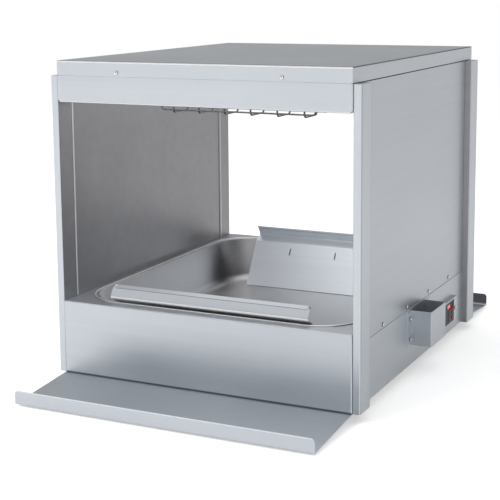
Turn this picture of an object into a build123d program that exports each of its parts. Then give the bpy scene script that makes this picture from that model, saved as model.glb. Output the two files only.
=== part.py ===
from build123d import *

import os
from math import cos, radians, sin, tan

# A pass-through chip warmer: a heated hood on two side walls over a drop-in pan, open at the
# front and the rear. Millimetres. +X is the right side, -Y the front, +Z up. The origin lies on
# the counter, under the middle of the body.

# Body
body_width = 600.0
body_depth = 720.0
overall_height = 628.0
sheet = 1.2
bend = 2.4
skin_round = 1.9
cut_over = 1.0
foot_height = 18.0
apron_gap = 0.3
deck_height = 161.3
end_return = 24.0
deck_flange = 24.0
plate_flange = 24.0
relief = 0.5
vent_count = 6
vent_pitch = 30.0
vent_length = 60.0
vent_width = 6.0
vent_inset = 108.0

# Corner posts, closed tubes outside the side walls
post_width = 15.0
post_depth = 50.0
post_setback = 2.0
post_gap = 1.5
post_radius = 2.0

# Hood
cap_height = 27.5
cap_screw_inset = 132.0
cap_screw_drop = 20.5
band_height = 50.5
band_gap = 1.0
band_corner = 5.0
band_lap = 10.0
band_lip = 19.0
floor_flange = 34.0

# Side walls and lower covers
wall_lift = 1.5
wall_hem = 9.0
wall_hem_lap = 5.0
hem_round = 0.95
cover_drop = 26.8
cover_lift = 3.7
wall_screw_count = 4
wall_screw_inset = 102.5
wall_screw_rise = 8.0

# Drop-in pan
rim_side_margin = 15.0
rim_end_margin = 22.0
rim_corner = 90.0
rim_lap = 7.5
rim_sheet = 1.0
bead_width = 4.0
bead_height = 2.4
bead_round = 1.0
mouth_round = 1.8
pan_height = 99.0
pan_draft = 8.0
pan_floor_radius = 20.0
pan_clearance = 1.5
seat_gap = 0.3

# Heated bed under the pan
plate_side_inset = 47.5
plate_end_inset = 50.5
plate_corner = 20.0
plate_thickness = 2.0
blanket_margin = 10.0
blanket_thickness = 2.5
bed_thickness = 17.0
tray_lip = 20.0
tray_side_gap = 3.0
support_side_inset = 80.0
support_end_inset = 30.0
support_foot = 14.0
support_crown = 30.0
thermostat_radius = 8.0
thermostat_height = 11.0
thermostat_gap = 2.0
thermostat_chamfer = 1.0

# Ramps over the two ends of the pan
ramp_side_inset = 78.0
ramp_rise = 11.2
ramp_overhang = 1.0
ramp_flange = 22.0
ramp_flange_lean = 58.0
ramp_curl = 6.0
ramp_curl_lean = 37.0
ramp_corner = 7.0
ramp_throat_reach = 23.0
ramp_throat_drop = 13.3
ramp_foot_inset = 38.0
ramp_bend = 2.0
divider_slot_pitch = 114.0
divider_slot_count = 3
divider_slot_length = 15.0
divider_slot_width = 2.5
divider_slot_drop = 12.3

# Shelves at the front and the rear
shelf_reach = 167.5
shelf_drop = 13.3
shelf_lip = 27.0
shelf_corner = 7.0
shelf_flange = 24.0
shelf_screw_inset = 80.0

# Strip heaters and wire guards in the hood
heater_offset = 166.5
trough_length = 350.0
trough_mouth = 56.0
trough_height = 38.0
trough_taper = 14.0
trough_flange = 9.0
trough_sheet = 0.8
element_radius = 4.25
element_rise = 18.0
element_overrun = 22.0
element_round = 1.0
element_clearance = 0.1
insulator_radius = 8.0
insulator_length = 18.0
rod = 3.6
rod_gap = 0.02
guard_span = 63.0
guard_drop = 31.0
guard_rail_rise = 5.5
guard_wire_count = 6
guard_wire_pitch = 56.0
guard_length = 332.0
guard_bend = 7.0
batt_side_gap = 40.0
batt_end_gap = 110.0
batt_corner = 6.0
batt_thickness = 18.0

# Pocket on the right lower cover
pocket_reach = 41.6
pocket_front = -43.2
pocket_length = 93.0
pocket_height = 70.0
pocket_drop = 5.0
pocket_flange = 24.0
pocket_sheet = 1.5
pocket_screw_inset = 11.0
pocket_screw_rise = 15.1
pocket_screw_drop = 14.3

# Controller on the right lower cover
control_y = 169.0
control_z = 70.0
housing_end_border = 22.0
housing_side_border = 3.5
housing_reach = 9.5
housing_round = 1.5
housing_screw_gap = 10.0
housing_screw_lift = 2.0
housing_screw_overrun = 2.0
face_length = 92.0
face_height = 46.0
face_proud = 0.5
face_thickness = 3.0
face_gap = 0.2
face_round = 0.4
case_margin = 2.0
case_depth = 27.0
case_wall = 1.6
case_corner = 2.0
lens_size = (42.0, 14.0)
lens_offset = (20.0, 12.0)
lens_thickness = 1.6
lens_ledge = 1.5
digit_height = 9.0
digit_width = 5.0
digit_pitch = 8.5
digit_stroke = 1.1
digit_relief = 0.3
stroke_gap = 0.22
digit_text = "180"
module_depth = 5.0
module_inset = (3.0, 2.25)
button_radius = 4.0
button_columns = (9.0, 33.0)
button_rows = (-2.5, -13.5)
button_proud = 1.0
button_travel = 0.8
button_gap_behind = button_travel + 0.1
button_gap = 0.15
button_round = 0.5
button_collar = 0.9
button_collar_thickness = 1.2
board_thickness = 1.6
board_depth = 8.0
key_switch_size = 6.0
board_switch_gap = 2.0

# Power switch in the front part of the control face
switch_offset = -27.0
switch_size = (18.4, 28.0)
switch_bezel = 1.8
switch_bezel_proud = 1.0
switch_bezel_round = 0.6
switch_depth = 24.0
rocker_size = (14.6, 22.0)
rocker_depth = 5.2
rocker_dish = 0.8
rocker_side_gap = 0.4
rocker_end_gap = 0.8
rocker_back_depth = 3.1
rocker_back_half = 5.5
rocker_pin = 1.5
rocker_pin_gap = 0.05
rocker_pin_reach = 8.6
rocker_tilt = 8.0
rocker_pivot_depth = 4.6

# Cable gland on the left lower cover
gland_y = 230.0
gland_z = 62.0
gland_thread = 10.0
gland_bore = 4.5
gland_flange = 14.0
gland_nut_thickness = 5.0
gland_body = 12.0
gland_cap = 12.0
gland_cap_round = 4.8
gland_dome = 30.0

# Electrical parts on the base plate and in the hood
relay_size = (34.0, 60.0, 26.0)
relay_inset = 33.0
relay_y = 30.0
relay_round = 2.0
terminal_size = (28.0, 76.0, 22.0)
terminal_inset = 32.0
terminal_y = -80.0
terminal_ways = 4
terminal_notch = 2.5
terminal_notch_depth = 8.5
hood_terminal_size = (76.0, 28.0, 22.0)
hood_terminal_inset = 90.0
hood_terminal_y = 60.0

# Fasteners and feet
screw_head = 8.4
screw_head_height = 2.3
screw_head_round = 1.95
screw_shank = 4.0
screw_clearance = 0.15
screw_reach = 7.0
recess_length = 4.6
recess_width = 1.1
recess_depth = 1.15
foot_top = 32.0
foot_base = 28.0
foot_bore_depth = 10.0
foot_bore_gap = 1.0
foot_screw_overrun = 4.0
foot_side_inset = 70.0
foot_end_inset = 75.0

half_width = body_width / 2
half_depth = body_depth / 2
inner_x = half_width - sheet
inner_y = half_depth - sheet
return_y = half_depth - end_return
apron_bottom = foot_height + apron_gap
plate_top = foot_height + sheet
wall_outer = half_width + sheet
cover_outer = wall_outer + sheet
post_front = half_depth - post_setback
post_back = post_front - post_depth
cap_bottom = overall_height - cap_height
post_top = cap_bottom - post_gap
band_bottom = cap_bottom - band_gap - band_height
cap_screw_height = overall_height - cap_screw_drop
floor_under = band_bottom + sheet
floor_top = floor_under + sheet
wall_bottom = foot_height + wall_lift
cover_bottom = foot_height + cover_lift
cover_top = deck_height - cover_drop
wall_screw_height = cover_top + wall_screw_rise
wall_screw_y = post_back - wall_screw_inset
wall_screw_rows = [
    wall_screw_y * (2 * step / (wall_screw_count - 1) - 1) for step in range(wall_screw_count)
]
rim_width = body_width - 2 * rim_side_margin
rim_depth = body_depth - 2 * rim_end_margin
shank_hole = screw_shank / 2 + screw_clearance
foot_x = half_width - foot_side_inset
foot_y = half_depth - foot_end_inset
foot_places = [(x, y) for x in (-foot_x, foot_x) for y in (-foot_y, foot_y)]
shelf_screw_x = half_width - shelf_screw_inset
shelf_screw_y = inner_y - shelf_flange / 2
shelf_screw_places = [(x * shelf_screw_x, y * shelf_screw_y) for x in (-1, 1) for y in (-1, 1)]


def facing(direction, x, y, z):
    """Location with its Z axis along a row axis, for screws and bores."""
    turns = {
        "+X": (0, 90, 0),
        "-X": (0, -90, 0),
        "+Y": (-90, 0, 0),
        "-Y": (90, 0, 0),
        "+Z": (0, 0, 0),
        "-Z": (180, 0, 0),
    }
    return Location((x, y, z), turns[direction])


def span_box(x, y, z, mode=Mode.ADD):
    """Box between pairs of limits, joined to or cut from the sub-part being made."""
    limits = (x, y, z)
    with Locations(tuple(sum(pair) / 2 for pair in limits)):
        Box(*(abs(pair[1] - pair[0]) for pair in limits), mode=mode)


def bore(places, radius, depth):
    """Round holes at locations, through what lies within half the depth of each."""
    with Locations(*places):
        Cylinder(radius, depth, mode=Mode.SUBTRACT)


with BuildPart() as screw:
    # Truss head standing on Z = 0, with a cross recess and the shank below.
    with BuildSketch(Plane.XY):
        Circle(screw_head / 2)
    extrude(amount=screw_head_height)
    fillet(screw.edges().group_by(Axis.Z)[-1], radius=screw_head_round)
    with BuildSketch(Plane.XY.offset(screw_head_height)):
        Rectangle(recess_length, recess_width)
        Rectangle(recess_width, recess_length)
    extrude(amount=-recess_depth, mode=Mode.SUBTRACT)
    with BuildSketch(Plane.XY):
        Circle(screw_shank / 2)
    extrude(amount=-screw_reach)

# ---------------------------------------------------------------- base

side_wall_screw_places = [
    facing("+X" if side > 0 else "-X", side * wall_outer, y, wall_screw_height)
    for side in (-1, 1)
    for y in wall_screw_rows
]

with BuildPart() as base_shell:
    with BuildSketch(Plane.XY.offset(apron_bottom)):
        Rectangle(body_width, body_depth)
    extrude(amount=deck_height - apron_bottom)
    upright = base_shell.edges().filter_by(Axis.Z)
    fillet(upright + base_shell.edges().group_by(Axis.Z)[-1], radius=bend)
    offset(amount=-sheet, openings=base_shell.faces().sort_by(Axis.Z)[0])
    for side in (-1, 1):
        span_box(
            (side * (inner_x - cut_over), side * (half_width + cut_over)),
            (-return_y, return_y),
            (0, deck_height - deck_flange),
            mode=Mode.SUBTRACT,
        )
    with BuildSketch(Plane.XY.offset(deck_height + cut_over)):
        RectangleRounded(
            rim_width - 2 * (rim_lap - pan_clearance),
            rim_depth - 2 * (rim_lap - pan_clearance),
            rim_corner - rim_lap + pan_clearance,
        )
    extrude(amount=-sheet - 2 * cut_over, mode=Mode.SUBTRACT)
    bore(side_wall_screw_places, shank_hole, 4 * screw_reach)

with BuildPart() as bottom_plate:
    flange_x = inner_x - bend
    with BuildSketch(Plane.XY.offset(foot_height)):
        Rectangle(2 * flange_x, 2 * inner_y)
        Rectangle(body_width, 2 * return_y - 2 * relief)
    extrude(amount=sheet)
    for side in (-1, 1):
        span_box(
            (side * inner_x, side * half_width),
            (-return_y + relief, return_y - relief),
            (foot_height, foot_height + plate_flange),
        )
        span_box(
            (-flange_x, flange_x),
            (side * (inner_y - sheet), side * inner_y),
            (foot_height, foot_height + plate_flange),
        )
    plate_holes = [
        facing("+Z", x, y, foot_height) for x, y in foot_places + shelf_screw_places
    ]
    bore(plate_holes, shank_hole, 4 * sheet)
    with BuildSketch(Plane.XY.offset(foot_height - cut_over)):
        for side in (-1, 1):
            with Locations((0, side * (half_depth - vent_inset))):
                with GridLocations(vent_pitch, 0, vent_count, 1):
                    SlotOverall(vent_length, vent_width, rotation=90)
    extrude(amount=sheet + 2 * cut_over, mode=Mode.SUBTRACT)

with BuildPart() as rubber_feet:
    with Locations(*[(x, y, 0) for x, y in foot_places]):
        Cone(
            foot_base / 2,
            foot_top / 2,
            foot_height,
            align=(Align.CENTER, Align.CENTER, Align.MIN),
        )
    bore([(x, y, 0) for x, y in foot_places], screw_head / 2 + foot_bore_gap, 2 * foot_bore_depth)
    bore([(x, y, foot_height) for x, y in foot_places], shank_hole, 2 * foot_height)

with BuildPart() as foot_screws:
    with Locations(*[facing("-Z", x, y, foot_bore_depth) for x, y in foot_places]):
        add(screw.part)
        Cylinder(
            screw_shank / 2,
            foot_height - foot_bore_depth + foot_screw_overrun,
            align=(Align.CENTER, Align.CENTER, Align.MAX),
        )

# ---------------------------------------------------------------- posts and walls

with BuildPart() as post_front_right:
    post_middle = post_front - post_depth / 2
    with BuildSketch(Plane.XY.offset(foot_height)):
        with Locations((half_width + post_width / 2, -post_middle)):
            RectangleRounded(post_width, post_depth, post_radius)
    extrude(amount=post_top - foot_height)
    offset(amount=-sheet, openings=post_front_right.faces().sort_by(Axis.Z)[0])

with BuildPart() as post_front_left:
    mirror(post_front_right.part, about=Plane.YZ)

with BuildPart() as post_rear_right:
    mirror(post_front_right.part, about=Plane.XZ)

with BuildPart() as post_rear_left:
    mirror(post_front_left.part, about=Plane.XZ)

# The window that the controller passes through, and what is screwed beside it.
case_length = face_length - 2 * case_margin
case_height = face_height - 2 * case_margin
control_window = (
    (control_y - case_length / 2 - relief, control_y + case_length / 2 + relief),
    (control_z - case_height / 2 - relief, control_z + case_height / 2 + relief),
)
housing_face = cover_outer + housing_reach
housing_screw_offset = face_length / 2 + housing_screw_gap
housing_screw_places = [
    facing(
        "+X", housing_face, control_y + side * housing_screw_offset, control_z + housing_screw_lift
    )
    for side in (-1, 1)
]
pocket_back = pocket_front + pocket_length
pocket_top = cover_top - pocket_drop
pocket_bottom = pocket_top - pocket_height
pocket_screw_places = [
    facing("+X", cover_outer + pocket_sheet, y, z)
    for y in (pocket_front - pocket_screw_inset, pocket_back + pocket_screw_inset)
    for z in (pocket_bottom + pocket_screw_rise, pocket_top - pocket_screw_drop)
]
right_holes = pocket_screw_places + housing_screw_places

with BuildPart() as wall_blank:
    # Right wall without its cut-outs: a sheet whose front and rear edges are hemmed inwards
    # and lap over the posts.
    span_box((half_width, wall_outer), (-post_back, post_back), (wall_bottom, post_top))
    for side in (-1, 1):
        span_box(
            (inner_x, half_width),
            (side * (post_back + wall_hem_lap), side * (post_back + wall_hem_lap - wall_hem)),
            (deck_height + relief, floor_under - relief),
        )
    hems = wall_blank.edges().filter_by(Axis.Z).group_by(Axis.X)[0]
    fillet(hems, radius=hem_round)

with BuildPart() as side_wall_right:
    add(wall_blank.part)
    bore(side_wall_screw_places, shank_hole, 4 * screw_reach)
    span_box((half_width - cut_over, wall_outer + cut_over), *control_window, mode=Mode.SUBTRACT)
    bore(right_holes, shank_hole, 4 * screw_reach)

with BuildPart() as side_wall_left:
    mirror(wall_blank.part, about=Plane.YZ)
    bore(side_wall_screw_places, shank_hole, 4 * screw_reach)
    bore([facing("-X", -half_width, gland_y, gland_z)], gland_thread + relief, 6 * sheet)

with BuildPart() as lower_cover_right:
    span_box((wall_outer, cover_outer), (-post_back, post_back), (cover_bottom, cover_top))
    span_box((wall_outer - cut_over, cover_outer + cut_over), *control_window, mode=Mode.SUBTRACT)
    bore(right_holes, shank_hole, 4 * screw_reach)

with BuildPart() as lower_cover_left:
    span_box((-cover_outer, -wall_outer), (-post_back, post_back), (cover_bottom, cover_top))
    bore([facing("-X", -wall_outer, gland_y, gland_z)], gland_thread + relief, 6 * sheet)

with BuildPart() as side_wall_screws:
    with Locations(*side_wall_screw_places):
        add(screw.part)

# ---------------------------------------------------------------- hood

cap_screw_x = half_width - cap_screw_inset
cap_screw_places = [
    facing("+Y" if side > 0 else "-Y", x * cap_screw_x, side * half_depth, cap_screw_height)
    for side in (-1, 1)
    for x in (-1, 1)
]

with BuildPart() as hood_cap:
    with BuildSketch(Plane.XY.offset(cap_bottom)):
        Rectangle(body_width, body_depth)
    extrude(amount=cap_height)
    upright = hood_cap.edges().filter_by(Axis.Z)
    fillet(upright + hood_cap.edges().group_by(Axis.Z)[-1], radius=skin_round)
    offset(amount=-sheet, openings=hood_cap.faces().sort_by(Axis.Z)[0])
    bore(cap_screw_places, shank_hole, 4 * screw_reach)

with BuildPart() as hood_front_band:
    # Channel open at the top and the back, with a lip standing up behind the cap's skirt.
    span_box(
        (-half_width, half_width),
        (-half_depth, -return_y),
        (band_bottom, cap_bottom - band_gap),
    )
    chamfer(hood_front_band.edges().filter_by(Axis.Y).group_by(Axis.Z)[0], length=band_corner)
    outside = hood_front_band.faces().sort_by(Axis.Y)[0].edges()
    top_row = outside.group_by(Axis.Z)[-1]
    fillet(outside - top_row, radius=bend)
    offset(
        amount=-sheet,
        openings=[
            hood_front_band.faces().sort_by(Axis.Z)[-1],
            hood_front_band.faces().sort_by(Axis.Y)[-1],
        ],
    )
    span_box(
        (-inner_x + bend, inner_x - bend),
        (-inner_y, -inner_y + sheet),
        (cap_bottom - band_lap, cap_bottom + band_lip),
    )
    bore(cap_screw_places, shank_hole, 4 * screw_reach)

with BuildPart() as hood_rear_band:
    mirror(hood_front_band.part, about=Plane.XZ)

with BuildPart() as hood_floor:
    flange_y = return_y - relief
    with BuildSketch(Plane.XY.offset(floor_under)):
        Rectangle(body_width, 2 * flange_y)
        Rectangle(2 * (inner_x - band_corner), 2 * (return_y + end_return / 2))
        for side in (-1, 1):
            with Locations((0, side * heater_offset)):
                Rectangle(trough_length, trough_mouth, mode=Mode.SUBTRACT)
    extrude(amount=sheet)
    for side in (-1, 1):
        span_box(
            (side * inner_x, side * half_width),
            (-flange_y, flange_y),
            (floor_under, floor_under + floor_flange),
        )

with BuildPart() as cap_screws:
    with Locations(*cap_screw_places):
        add(screw.part)

element_height = floor_top + element_rise
insulator_x = trough_length / 2 - element_rise * tan(radians(trough_taper))
insulator_places = [
    facing("+X", side * insulator_x, end * heater_offset, element_height)
    for side in (-1, 1)
    for end in (-1, 1)
]

with BuildPart() as reflector_front:
    trough_middle = (0, -heater_offset)
    with BuildSketch(Plane.XY.offset(floor_top)):
        with Locations(trough_middle):
            Rectangle(trough_length + 2 * trough_flange, trough_mouth + 2 * trough_flange)
    extrude(amount=trough_sheet)
    with BuildSketch(Plane.XY.offset(floor_top)):
        with Locations(trough_middle):
            Rectangle(trough_length, trough_mouth)
    extrude(amount=trough_height, taper=trough_taper)
    with BuildSketch(Plane.XY.offset(floor_top)):
        with Locations(trough_middle):
            Rectangle(trough_length - 2 * trough_sheet, trough_mouth - 2 * trough_sheet)
    extrude(amount=trough_height - trough_sheet, taper=trough_taper, mode=Mode.SUBTRACT)
    bore(insulator_places, insulator_radius + screw_clearance, insulator_length)

with BuildPart() as reflector_rear:
    mirror(reflector_front.part, about=Plane.XZ)

with BuildPart() as heating_element_front:
    with BuildSketch(Plane.YZ):
        with Locations((-heater_offset, element_height)):
            Circle(element_radius)
    extrude(amount=trough_length / 2 + element_overrun, both=True)
    fillet(heating_element_front.edges(), radius=element_round)

with BuildPart() as heating_element_rear:
    mirror(heating_element_front.part, about=Plane.XZ)

with BuildPart() as element_insulators:
    with Locations(*insulator_places):
        Cylinder(insulator_radius, insulator_length)
    bore(insulator_places, element_radius + element_clearance, 2 * insulator_length)

with BuildPart() as wire_guard_front:
    # Six U-shaped wires between two rails, whose ends turn up to the hood floor.
    guard_bottom = band_bottom - guard_drop + rod / 2
    leg = guard_span / 2 - rod / 2
    rail_y = leg + rod + rod_gap
    rail_z = guard_bottom + guard_rail_rise
    end_x = guard_length / 2 - rod / 2
    for step in range(guard_wire_count):
        x = (step - (guard_wire_count - 1) / 2) * guard_wire_pitch
        with BuildLine(Plane.YZ.offset(x)) as wire_path:
            FilletPolyline(
                (-heater_offset - leg, floor_under),
                (-heater_offset - leg, guard_bottom),
                (-heater_offset + leg, guard_bottom),
                (-heater_offset + leg, floor_under),
                radius=guard_bend,
            )
        with BuildSketch(wire_path.line ^ 0):
            Circle(rod / 2)
        sweep(path=wire_path.line)
    for side in (-1, 1):
        with BuildLine(Plane.XZ.offset(heater_offset - side * rail_y)) as rail_path:
            FilletPolyline(
                (-end_x, floor_under),
                (-end_x, rail_z),
                (end_x, rail_z),
                (end_x, floor_under),
                radius=guard_bend,
            )
        with BuildSketch(rail_path.line ^ 0):
            Circle(rod / 2)
        sweep(path=rail_path.line)

with BuildPart() as wire_guard_rear:
    mirror(wire_guard_front.part, about=Plane.XZ)

batt_bottom = floor_top + trough_height + seat_gap
with BuildPart() as hood_insulation:
    with BuildSketch(Plane.XY.offset(batt_bottom)):
        RectangleRounded(
            body_width - 2 * batt_side_gap, body_depth - 2 * batt_end_gap, batt_corner
        )
    extrude(amount=batt_thickness)


def terminal_rows(size, x, y, bottom, along):
    """Terminal block body in the sub-part being made, notched between its ways."""
    top = bottom + size[2]
    span_box((x - size[0] / 2, x + size[0] / 2), (y - size[1] / 2, y + size[1] / 2), (bottom, top))
    for way in range(1, terminal_ways):
        if along == "Y":
            middle = y + (way / terminal_ways - 0.5) * size[1]
            across = (x - size[0], x + size[0])
            span = (across, (middle - terminal_notch / 2, middle + terminal_notch / 2))
        else:
            middle = x + (way / terminal_ways - 0.5) * size[0]
            across = (y - size[1], y + size[1])
            span = ((middle - terminal_notch / 2, middle + terminal_notch / 2), across)
        span_box(*span, (top - terminal_notch_depth, top + cut_over), mode=Mode.SUBTRACT)


with BuildPart() as hood_terminal_block:
    hood_terminal_x = half_width - hood_terminal_inset
    terminal_rows(hood_terminal_size, hood_terminal_x, hood_terminal_y, floor_top, "X")

# ---------------------------------------------------------------- pan and heated bed

pan_top = deck_height + rim_sheet
pan_floor = pan_top - pan_height
mouth_width = rim_width - 2 * rim_lap
mouth_depth = rim_depth - 2 * rim_lap
mouth_corner = rim_corner - rim_lap
plate_breadth = mouth_width - 2 * plate_side_inset
plate_length = mouth_depth - 2 * plate_end_inset
heat_plate_top = pan_floor - rim_sheet - seat_gap
blanket_top = heat_plate_top - plate_thickness
bed_top = blanket_top - blanket_thickness
tray_top = bed_top - bed_thickness
tray_under = tray_top - sheet

with BuildPart() as pan_hollow:
    # The space inside the pan, rounded where the walls meet the floor.
    with BuildSketch(Plane.XY.offset(pan_top)):
        RectangleRounded(
            mouth_width - 2 * rim_sheet, mouth_depth - 2 * rim_sheet, mouth_corner - rim_sheet
        )
    extrude(amount=-pan_height, taper=pan_draft)
    fillet(pan_hollow.edges().group_by(Axis.Z)[0], radius=pan_floor_radius)

with BuildPart() as pan:
    with BuildSketch(Plane.XY.offset(pan_top)):
        RectangleRounded(mouth_width, mouth_depth, mouth_corner)
    extrude(amount=-pan_height - rim_sheet, taper=pan_draft)
    fillet(pan.edges().group_by(Axis.Z)[0], radius=pan_floor_radius + rim_sheet)
    with BuildSketch(Plane.XY.offset(deck_height)):
        RectangleRounded(rim_width, rim_depth, rim_corner)
    extrude(amount=rim_sheet)
    with BuildSketch(Plane.XY.offset(deck_height)):
        RectangleRounded(rim_width, rim_depth, rim_corner)
        RectangleRounded(
            rim_width - 2 * bead_width,
            rim_depth - 2 * bead_width,
            rim_corner - bead_width,
            mode=Mode.SUBTRACT,
        )
    extrude(amount=bead_height)
    fillet(pan.edges().group_by(Axis.Z)[-1], radius=bead_round)
    add(pan_hollow.part, mode=Mode.SUBTRACT)
    # The face between the mouth and the bead is a ring, whose inner loop is the mouth.
    ring = pan.faces().filter_by(Plane.XY).filter_by_position(Axis.Z, pan_top, pan_top)[0]
    fillet(ring.inner_wires()[0].edges(), radius=mouth_round)

with BuildPart() as heat_plate:
    with BuildSketch(Plane.XY.offset(blanket_top)):
        RectangleRounded(plate_breadth, plate_length, plate_corner)
    extrude(amount=plate_thickness)

with BuildPart() as heater_blanket:
    with BuildSketch(Plane.XY.offset(bed_top)):
        RectangleRounded(
            plate_breadth - 2 * blanket_margin,
            plate_length - 2 * blanket_margin,
            plate_corner - blanket_margin,
        )
        Circle(thermostat_radius + thermostat_gap, mode=Mode.SUBTRACT)
    extrude(amount=blanket_thickness)

with BuildPart() as bed_insulation:
    with BuildSketch(Plane.XY.offset(tray_top)):
        RectangleRounded(plate_breadth, plate_length, plate_corner)
        Circle(thermostat_radius + thermostat_gap, mode=Mode.SUBTRACT)
    extrude(amount=bed_thickness)

with BuildPart() as heater_tray:
    with BuildSketch(Plane.XY.offset(tray_under)):
        Rectangle(
            plate_breadth + 2 * (tray_side_gap + sheet), plate_length + 2 * (tray_side_gap + sheet)
        )
    extrude(amount=sheet + tray_lip)
    fillet(heater_tray.edges().group_by(Axis.Z)[0], radius=skin_round)
    offset(amount=-sheet, openings=heater_tray.faces().sort_by(Axis.Z)[-1])

with BuildPart() as tray_supports:
    # Two hat channels standing on the base plate.
    support_length = plate_length - 2 * support_end_inset
    for side in (-1, 1):
        x = side * (plate_breadth / 2 - support_side_inset)
        with BuildSketch(Plane.XZ.offset(-support_length / 2)):
            with BuildLine():
                FilletPolyline(
                    (x - support_crown / 2 - support_foot, plate_top),
                    (x - support_crown / 2, plate_top),
                    (x - support_crown / 2, tray_under - sheet),
                    (x + support_crown / 2, tray_under - sheet),
                    (x + support_crown / 2, plate_top),
                    (x + support_crown / 2 + support_foot, plate_top),
                    radius=sheet,
                )
                offset(amount=sheet, side=Side.LEFT)
            make_face()
        extrude(amount=support_length)

with BuildPart() as pan_thermostat:
    with BuildSketch(Plane.XY.offset(blanket_top)):
        Circle(thermostat_radius)
    extrude(amount=-thermostat_height)
    chamfer(pan_thermostat.edges().group_by(Axis.Z)[0], length=thermostat_chamfer)

# ---------------------------------------------------------------- ramps and shelves

with BuildPart() as front_ramp:
    ramp_width = rim_width - 2 * ramp_side_inset
    fold = (-rim_depth / 2 - ramp_overhang, deck_height + ramp_rise)
    flange_top = (
        fold[0] + ramp_flange * cos(radians(ramp_flange_lean)),
        fold[1] + ramp_flange * sin(radians(ramp_flange_lean)),
    )
    curl_end = (
        flange_top[0] + ramp_curl * cos(radians(ramp_curl_lean)),
        flange_top[1] + ramp_curl * sin(radians(ramp_curl_lean)),
    )
    throat = (fold[0] + ramp_throat_reach, fold[1] - ramp_throat_drop)
    floor_edge = mouth_depth / 2 - rim_sheet - pan_height * tan(radians(pan_draft))
    floor_edge -= pan_floor_radius * tan(radians(45 - pan_draft / 2))
    foot = (ramp_foot_inset - floor_edge, pan_floor + seat_gap)
    with BuildSketch(Plane.YZ.offset(-ramp_width / 2)):
        with BuildLine():
            FilletPolyline(curl_end, flange_top, fold, throat, foot, radius=ramp_bend)
            offset(amount=sheet, side=Side.LEFT)
        make_face()
    extrude(amount=ramp_width)
    ends = front_ramp.faces().sort_by(Axis.Z)[-1].edges().filter_by(Axis.X, reverse=True)
    fillet(ends, radius=ramp_corner)
    with BuildSketch(Plane.XZ.offset(-foot[0] - relief)):
        with Locations((0, deck_height - divider_slot_drop - divider_slot_length / 2)):
            with GridLocations(divider_slot_pitch, 0, divider_slot_count, 1):
                SlotOverall(divider_slot_length, divider_slot_width, rotation=90)
    extrude(amount=rim_depth / 2, mode=Mode.SUBTRACT)

with BuildPart() as rear_ramp:
    mirror(front_ramp.part, about=Plane.XZ)

with BuildPart() as front_shelf:
    shelf_under = foot_height - sheet
    shelf_edge = (-half_depth - shelf_reach, shelf_under - shelf_drop)
    with BuildSketch(Plane.YZ.offset(-half_width)):
        with BuildLine():
            FilletPolyline(
                (-inner_y + shelf_flange, shelf_under),
                (-half_depth, shelf_under),
                shelf_edge,
                (shelf_edge[0], shelf_edge[1] + shelf_lip),
                radius=bend,
            )
            offset(amount=sheet, side=Side.RIGHT)
        make_face()
    extrude(amount=body_width)
    lip_corners = front_shelf.edges().filter_by(Axis.Y).group_by(Axis.Z)[-1]
    fillet(lip_corners, radius=shelf_corner)
    bore([(x, y, foot_height) for x, y in shelf_screw_places], shank_hole, 4 * sheet)

with BuildPart() as rear_shelf:
    mirror(front_shelf.part, about=Plane.XZ)

with BuildPart() as shelf_screws:
    with Locations(*[facing("-Z", x, y, foot_height - sheet) for x, y in shelf_screw_places]):
        add(screw.part)

# ---------------------------------------------------------------- pocket

with BuildPart() as side_pocket:
    span_box(
        (cover_outer, cover_outer + pocket_reach),
        (pocket_front, pocket_back),
        (pocket_bottom, pocket_top),
    )
    fillet(side_pocket.edges().filter_by(Axis.Z).group_by(Axis.X)[-1], radius=bend)
    offset(
        amount=-pocket_sheet,
        openings=[
            side_pocket.faces().sort_by(Axis.Z)[-1],
            side_pocket.faces().sort_by(Axis.X)[0],
        ],
    )
    for edge, side in ((pocket_front, -1), (pocket_back, 1)):
        span_box(
            (cover_outer, cover_outer + pocket_sheet),
            (edge - side * pocket_sheet, edge + side * pocket_flange),
            (pocket_bottom, pocket_top),
        )
    bore(pocket_screw_places, shank_hole, 4 * screw_reach)

with BuildPart() as pocket_screws:
    with Locations(*pocket_screw_places):
        add(screw.part)

# ---------------------------------------------------------------- controller

face_front = housing_face + face_proud
face_back = face_front - face_thickness
case_back = face_back - case_depth
lens_middle = (control_y + lens_offset[0], control_z + lens_offset[1])
button_places = [
    (control_y + y, control_z + z) for z in button_rows for y in button_columns
]
switch_middle = (control_y + switch_offset, control_z)
board_front = face_back - board_depth


def on_face(x):
    """Plane at x, with its own x along +Y and its own y along +Z."""
    return Plane(origin=(x, 0, 0), x_dir=(0, 1, 0), z_dir=(1, 0, 0))


with BuildPart() as control_housing:
    with BuildSketch(on_face(cover_outer)):
        with Locations((control_y, control_z)):
            Rectangle(face_length + 2 * housing_end_border, face_height + 2 * housing_side_border)
    extrude(amount=housing_reach)
    outer_edges = control_housing.faces().sort_by(Axis.X)[-1].edges()
    corners = control_housing.edges().filter_by(Axis.X)
    fillet(outer_edges + corners, radius=housing_round)
    offset(amount=-sheet, openings=control_housing.faces().sort_by(Axis.X)[0])
    with BuildSketch(on_face(housing_face + cut_over)):
        with Locations((control_y, control_z)):
            Rectangle(face_length + 2 * face_gap, face_height + 2 * face_gap)
    extrude(amount=-sheet - 2 * cut_over, mode=Mode.SUBTRACT)
    bore(housing_screw_places, shank_hole, 4 * sheet)

with BuildPart() as housing_standoffs:
    # Spacer tubes that the housing's screws draw it down on.
    for place in housing_screw_places:
        with BuildSketch(on_face(cover_outer)):
            with Locations((place.position.Y, place.position.Z)):
                Circle(screw_head / 2)
                Circle(shank_hole, mode=Mode.SUBTRACT)
        extrude(amount=housing_reach - sheet)

with BuildPart() as housing_screws:
    with Locations(*housing_screw_places):
        add(screw.part)
        Cylinder(
            screw_shank / 2,
            housing_reach + 2 * sheet + housing_screw_overrun,
            align=(Align.CENTER, Align.CENTER, Align.MAX),
        )

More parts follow.
